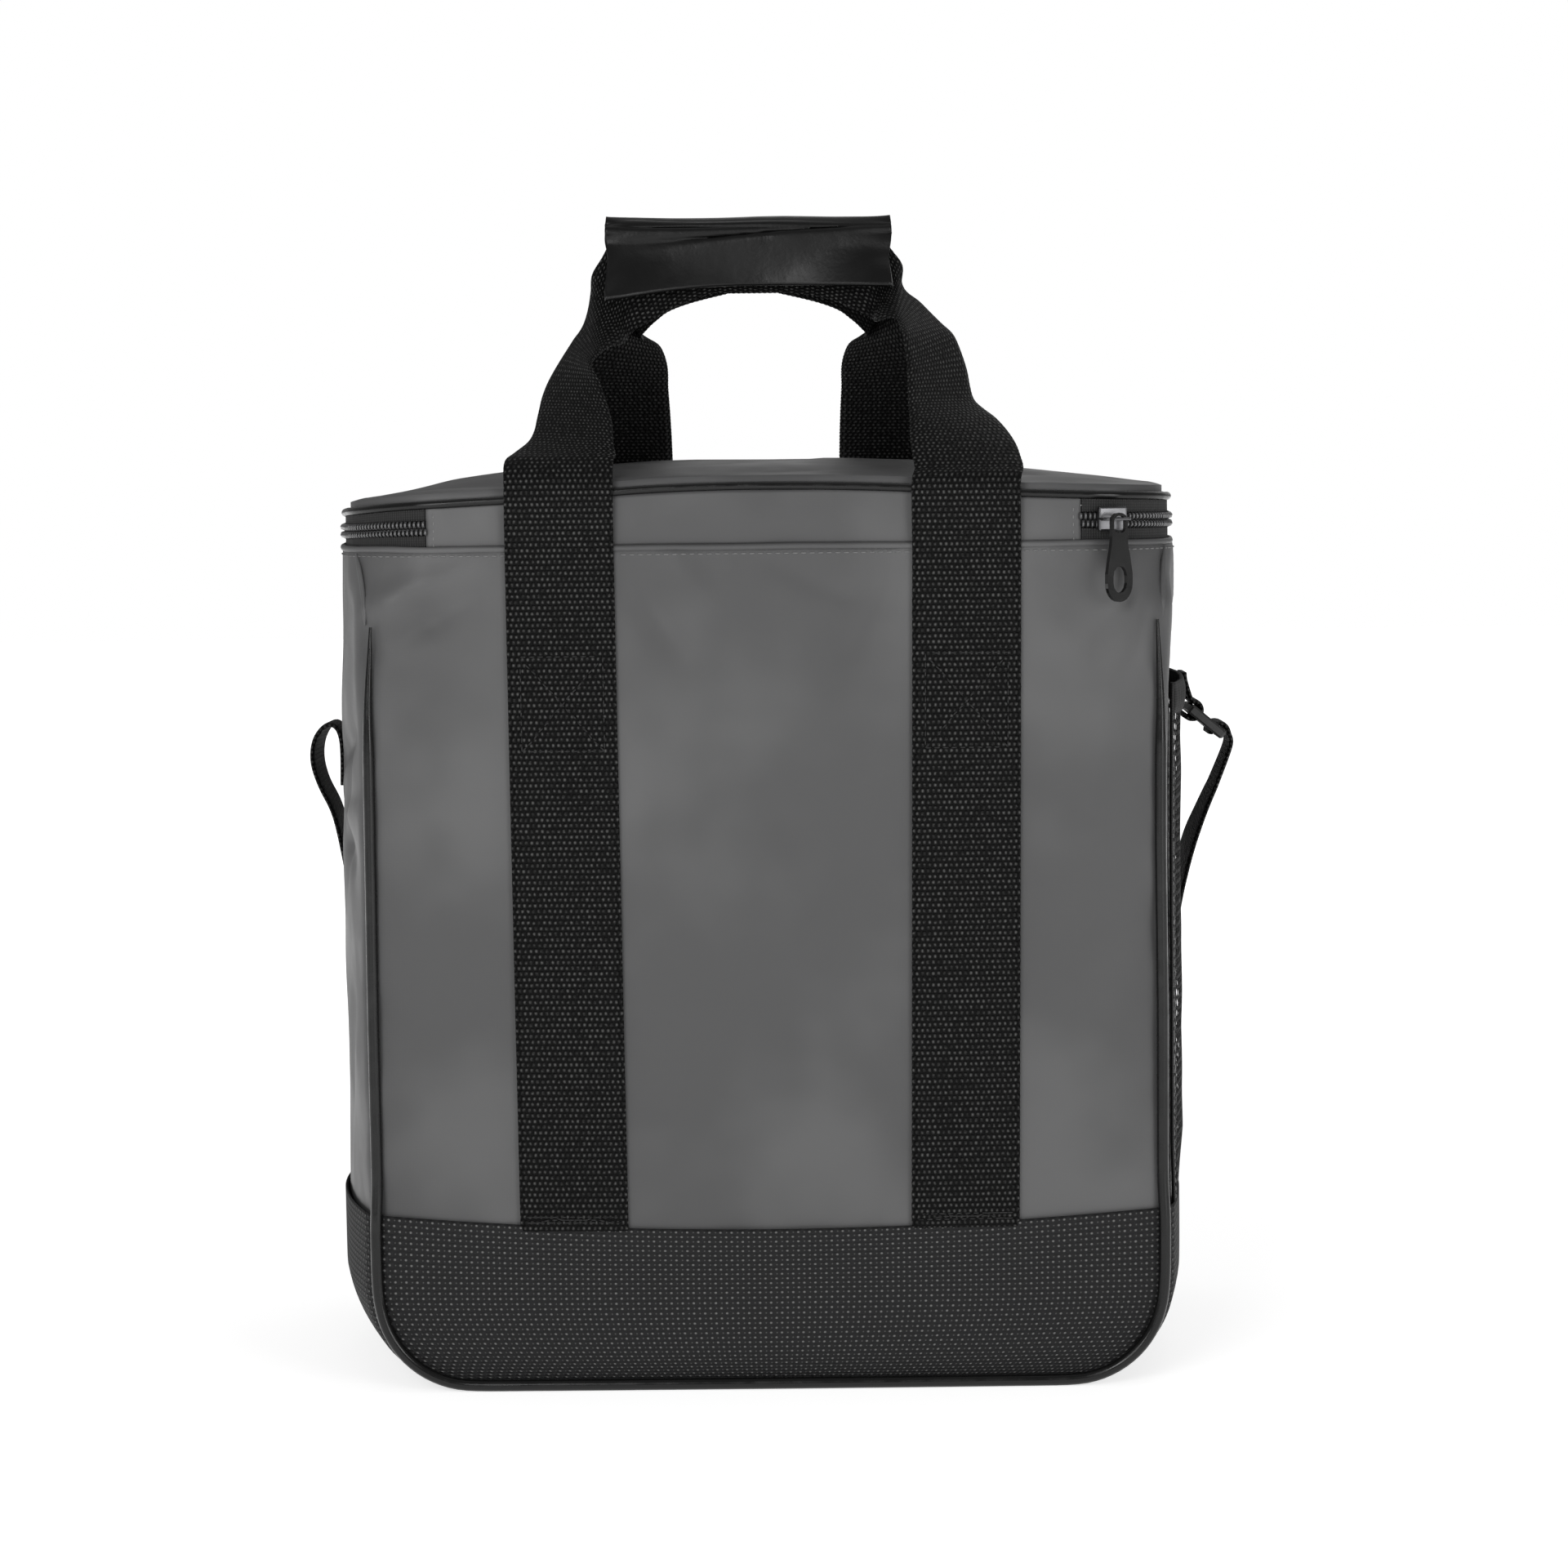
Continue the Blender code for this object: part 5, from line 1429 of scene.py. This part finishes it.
def pocket_place(share, z, extra):
    """A point of the net: share runs over its width from front to back."""
    half = DEPTH / 2 * POCKET_REACH
    slack = POCKET_SLACK * min(max((z - POCKET_FOOT) / POCKET_CLOSE, 0.0), 1.0)
    bow = (1 - abs(share) ** 2.5) * slack
    wave = 0.0006 * cloudy(share * 0.08, 0.0, z, 45.0, 71.0) * min(bow / 0.001, 1.0)
    return np.array([side_x(half * share, z, 1) + GAP + bow + extra + wave, half * share, z])


def net_thread(a, b, radius):
    """A short three-sided thread between two places."""
    a, b = np.asarray(a), np.asarray(b)
    run = b - a
    side = np.cross(run, (1.0, 0.0, 0.0))
    side = side / max(np.linalg.norm(side), 1e-9) * radius
    out = np.array([radius, 0.0, 0.0])
    points = [end + way for end in (a, b) for way in (-side, side, out)]
    return points, [[0, 1, 4, 3], [1, 2, 5, 4], [2, 0, 3, 5], [0, 2, 1], [3, 4, 5]]


def build_net():
    half = DEPTH / 2 * POCKET_REACH
    top = POCKET_TOP - BINDING_HEIGHT * 0.5
    tall = CELL * math.sqrt(3) / 2
    columns = int(2 * half / CELL)
    rows = int((top - POCKET_FOOT) / tall)
    chunks = []

    def node(i, j, part):
        y = -half + (i + 0.5 * (j % 2)) * CELL
        z = POCKET_FOOT + 0.001 + (j + part) * tall
        return pocket_place(min(max(y / half, -1.0), 1.0), min(z, top), 0.0005)

    for j in range(rows):
        for i in range(columns):
            low, high = node(i, j, 0.0), node(i, j, 0.36)
            chunks.append(net_thread(low, high, NET_THREAD))
            left = i - 1 if j % 2 == 0 else i
            for k in (left, left + 1):
                if 0 <= k < columns:
                    chunks.append(net_thread(high, node(k, j + 1, 0.0), NET_THREAD))
    net = joined("pocket_net", chunks, NET)
    ride_root(net, "net_cloth", "mesh_pocket")
    seam = []
    for share in (-1, 1):
        line = [pocket_place(share * 0.985, z, 0.0006) for z in np.linspace(POCKET_FOOT, POCKET_TOP, 60)]
        edges = [(p + np.array([0, -0.0032, 0]), p + np.array([0, 0.0032, 0])) for p in line]
        tape, _ = strip(f"pocket_edge_{'front' if share < 0 else 'rear'}", edges, 0.0010, TAPE, step=0.0025,
                        columns=6, weave=0.0025)
        ride_root(tape, "net_cloth")
        outs = [(1.0, 0.0, 0.0)] * len(line)
        places = [p + np.array([0.0008, share * -0.0014, 0]) for p in line]
        seam += stitch_row(places, outs, *NET_STITCH)
    thread = joined("pocket_stitches", seam, THREAD, mapped=True)
    ride_root(thread, "net_cloth")


def build_binding():
    """The turned tape along the pocket's mouth, a little gathered by its elastic."""
    grid = []
    steps, rows = 90, 10
    for r in range(rows + 1):
        row = []
        z = POCKET_TOP - BINDING_HEIGHT + BINDING_HEIGHT * r / rows
        for i in range(steps + 1):
            share = -1 + 2 * i / steps
            gather = 0.0004 * math.sin(share * 70.0 + 2.0 * cloudy(share, 0.0, 0.0, 6.0))
            roll = (0.0007 + gather) * math.sin(math.pi * r / rows)
            row.append(pocket_place(share, z, POCKET_NET + 2 * GAP + roll))
        grid.append(row)
    piece = grid_object("binding_tape", grid, TAPE)
    add_wall(piece, BINDING_CLOTH)
    ride_root(piece, "zip_cloth", "pocket_binding")


# Shoulder strap, its tab and the adjuster


def strap_tables():
    """The strap's pairs of edges and the tab's, worked out as the frame has them."""
    tilt = math.radians(ADJUSTER_TILT)
    run = np.array([math.cos(tilt), 0.0, -math.sin(tilt)])
    pocket_out = side_x(0.0, POCKET_TOP, 1) + POCKET_SLACK + POCKET_NET + BINDING_CLOTH + 3 * GAP
    start = np.array([pocket_out + ADJUSTER_STAND, STRAP_LINE, POCKET_TOP - ADJUSTER_DROP])
    middle = start + run * ADJUSTER_LENGTH / 2
    pitch = ADJUSTER_BAR + (ADJUSTER_LENGTH - 3 * ADJUSTER_BAR) / 2

    def turn(index, first, last, steps):
        centre = middle + run * pitch * (index - 1)
        radius = ADJUSTER_BAR / 2 + STRAP_CLOTH / 2 + BAR_ROOM
        angles = [math.radians(first + (last - first) * i / steps) for i in range(steps + 1)]
        return [centre + radius * np.array([math.cos(a), 0.0, math.sin(a)]) for a in angles]

    seat = pocket_out + STRAP_CLOTH / 2 + GAP
    tab = [np.array([seat, STRAP_LINE, POCKET_TOP - 2 * GAP]),
           np.array([seat + GAP, STRAP_LINE, POCKET_TOP - 2 * GAP - TAB_SEAM])]
    tab += turn(0, 95, -150, 9)
    strap = []
    rows = STRAP_ROWS_LEFT + STRAP_ROWS_RIGHT
    for t in np.linspace(0, len(rows) - 1, 3 * (len(rows) - 1) + 1):
        side, back, up, yaw, angle = catmull(rows, t)
        centre = (side * HALF_OUT, back * DEPTH / 2, up * HEIGHT)
        strap.append(edge_pair(centre, STRAP_WIDTH, yaw, angle))
    outer = turn(2, -10, 190, 8)
    lead = outer[0] + np.array([0.0008, 0.0, -0.0040])
    strap += [edge_pair(point, STRAP_WIDTH, 90.0, 0.0) for point in [lead] + outer]
    return [edge_pair(point, STRAP_WIDTH, 90.0, 0.0) for point in tab], strap


ADJUSTER_LENGTH = 0.016
ADJUSTER_BAR = 0.0030
ADJUSTER_TILT = 40.0
ADJUSTER_STAND = 0.0030
ADJUSTER_DROP = 0.0135
BAR_ROOM = 0.0010
STRAP_LINE = 0.010
TAB_SEAM = 0.0030
STRAP_ROWS_LEFT = [
    # side, back, up, yaw, pitch
    (-1.0010, 0.135, 0.700, 90, 0),
    (-1.0010, 0.135, 0.750, 90, 0),
    (-1.0130, 0.135, 0.772, 90, 0),
    (-1.0355, 0.135, 0.775, 88, 0),
    (-1.0605, 0.140, 0.757, 86, 0),
    (-1.0670, 0.150, 0.730, 86, 2),
    (-1.0540, 0.180, 0.700, 88, 4),
    (-1.0290, 0.260, 0.664, 90, 10),
    (-1.0130, 0.400, 0.606, 90, 24),
    (-1.0040, 0.620, 0.532, 90, 40),
    (-0.9970, 0.880, 0.455, 78, 50),
    (-0.8980, 1.105, 0.385, 45, 55),
    (-0.7000, 1.150, 0.300, 6, 58),
    (-0.3800, 1.155, 0.212, 0, 75),
    (0.0000, 1.155, 0.182, 0, 90),
]
STRAP_ROWS_RIGHT = [
    # side, back, up, yaw, pitch
    (0.3800, 1.155, 0.212, 0, 105),
    (0.7000, 1.150, 0.300, -6, 122),
    (0.8980, 1.105, 0.385, -45, 125),
    (0.9935, 0.880, 0.455, -78, 130),
    (0.9970, 0.620, 0.532, -90, 140),
    (1.0127, 0.400, 0.600, -90, 156),
    (1.0370, 0.250, 0.650, -90, 170),
    (1.0645, 0.170, 0.690, -90, 176),
]
HALF_OUT = WIDTH / 2 + SIDE_BULGE_LEFT


def build_strap():
    tab, strap = strap_tables()
    for name, node, edges, step in (("tab_webbing", "strap_tab", tab, 0.0006),
                                    ("shoulder_webbing", "shoulder_strap", strap, 0.001)):
        piece, _ = strip(name, edges, STRAP_CLOTH, STRAP_WEB, step=step, weave=0.0016)
        ride_root(piece, "webbing", node)


build_wrap()
build_net()
build_binding()
build_strap()

# Kept solids: the slider, its tab and the adjuster take their finishes here

for name, finish in (("zip_slider", GUNMETAL), ("pull_tab", GLOSS), ("strap_adjuster", PLASTIC)):
    for kept in bpy.data.objects:
        if kept.type == "MESH" and kept.name.split(".")[0] == name:
            kept.data.materials.clear()
            kept.data.materials.append(finish)

# Floor and finish
bpy.ops.mesh.primitive_plane_add(size=12.0, location=(0, 0, -0.0002))
floor = bpy.context.active_object
floor.name = "floor"
floor.data.materials.append(FLOOR)
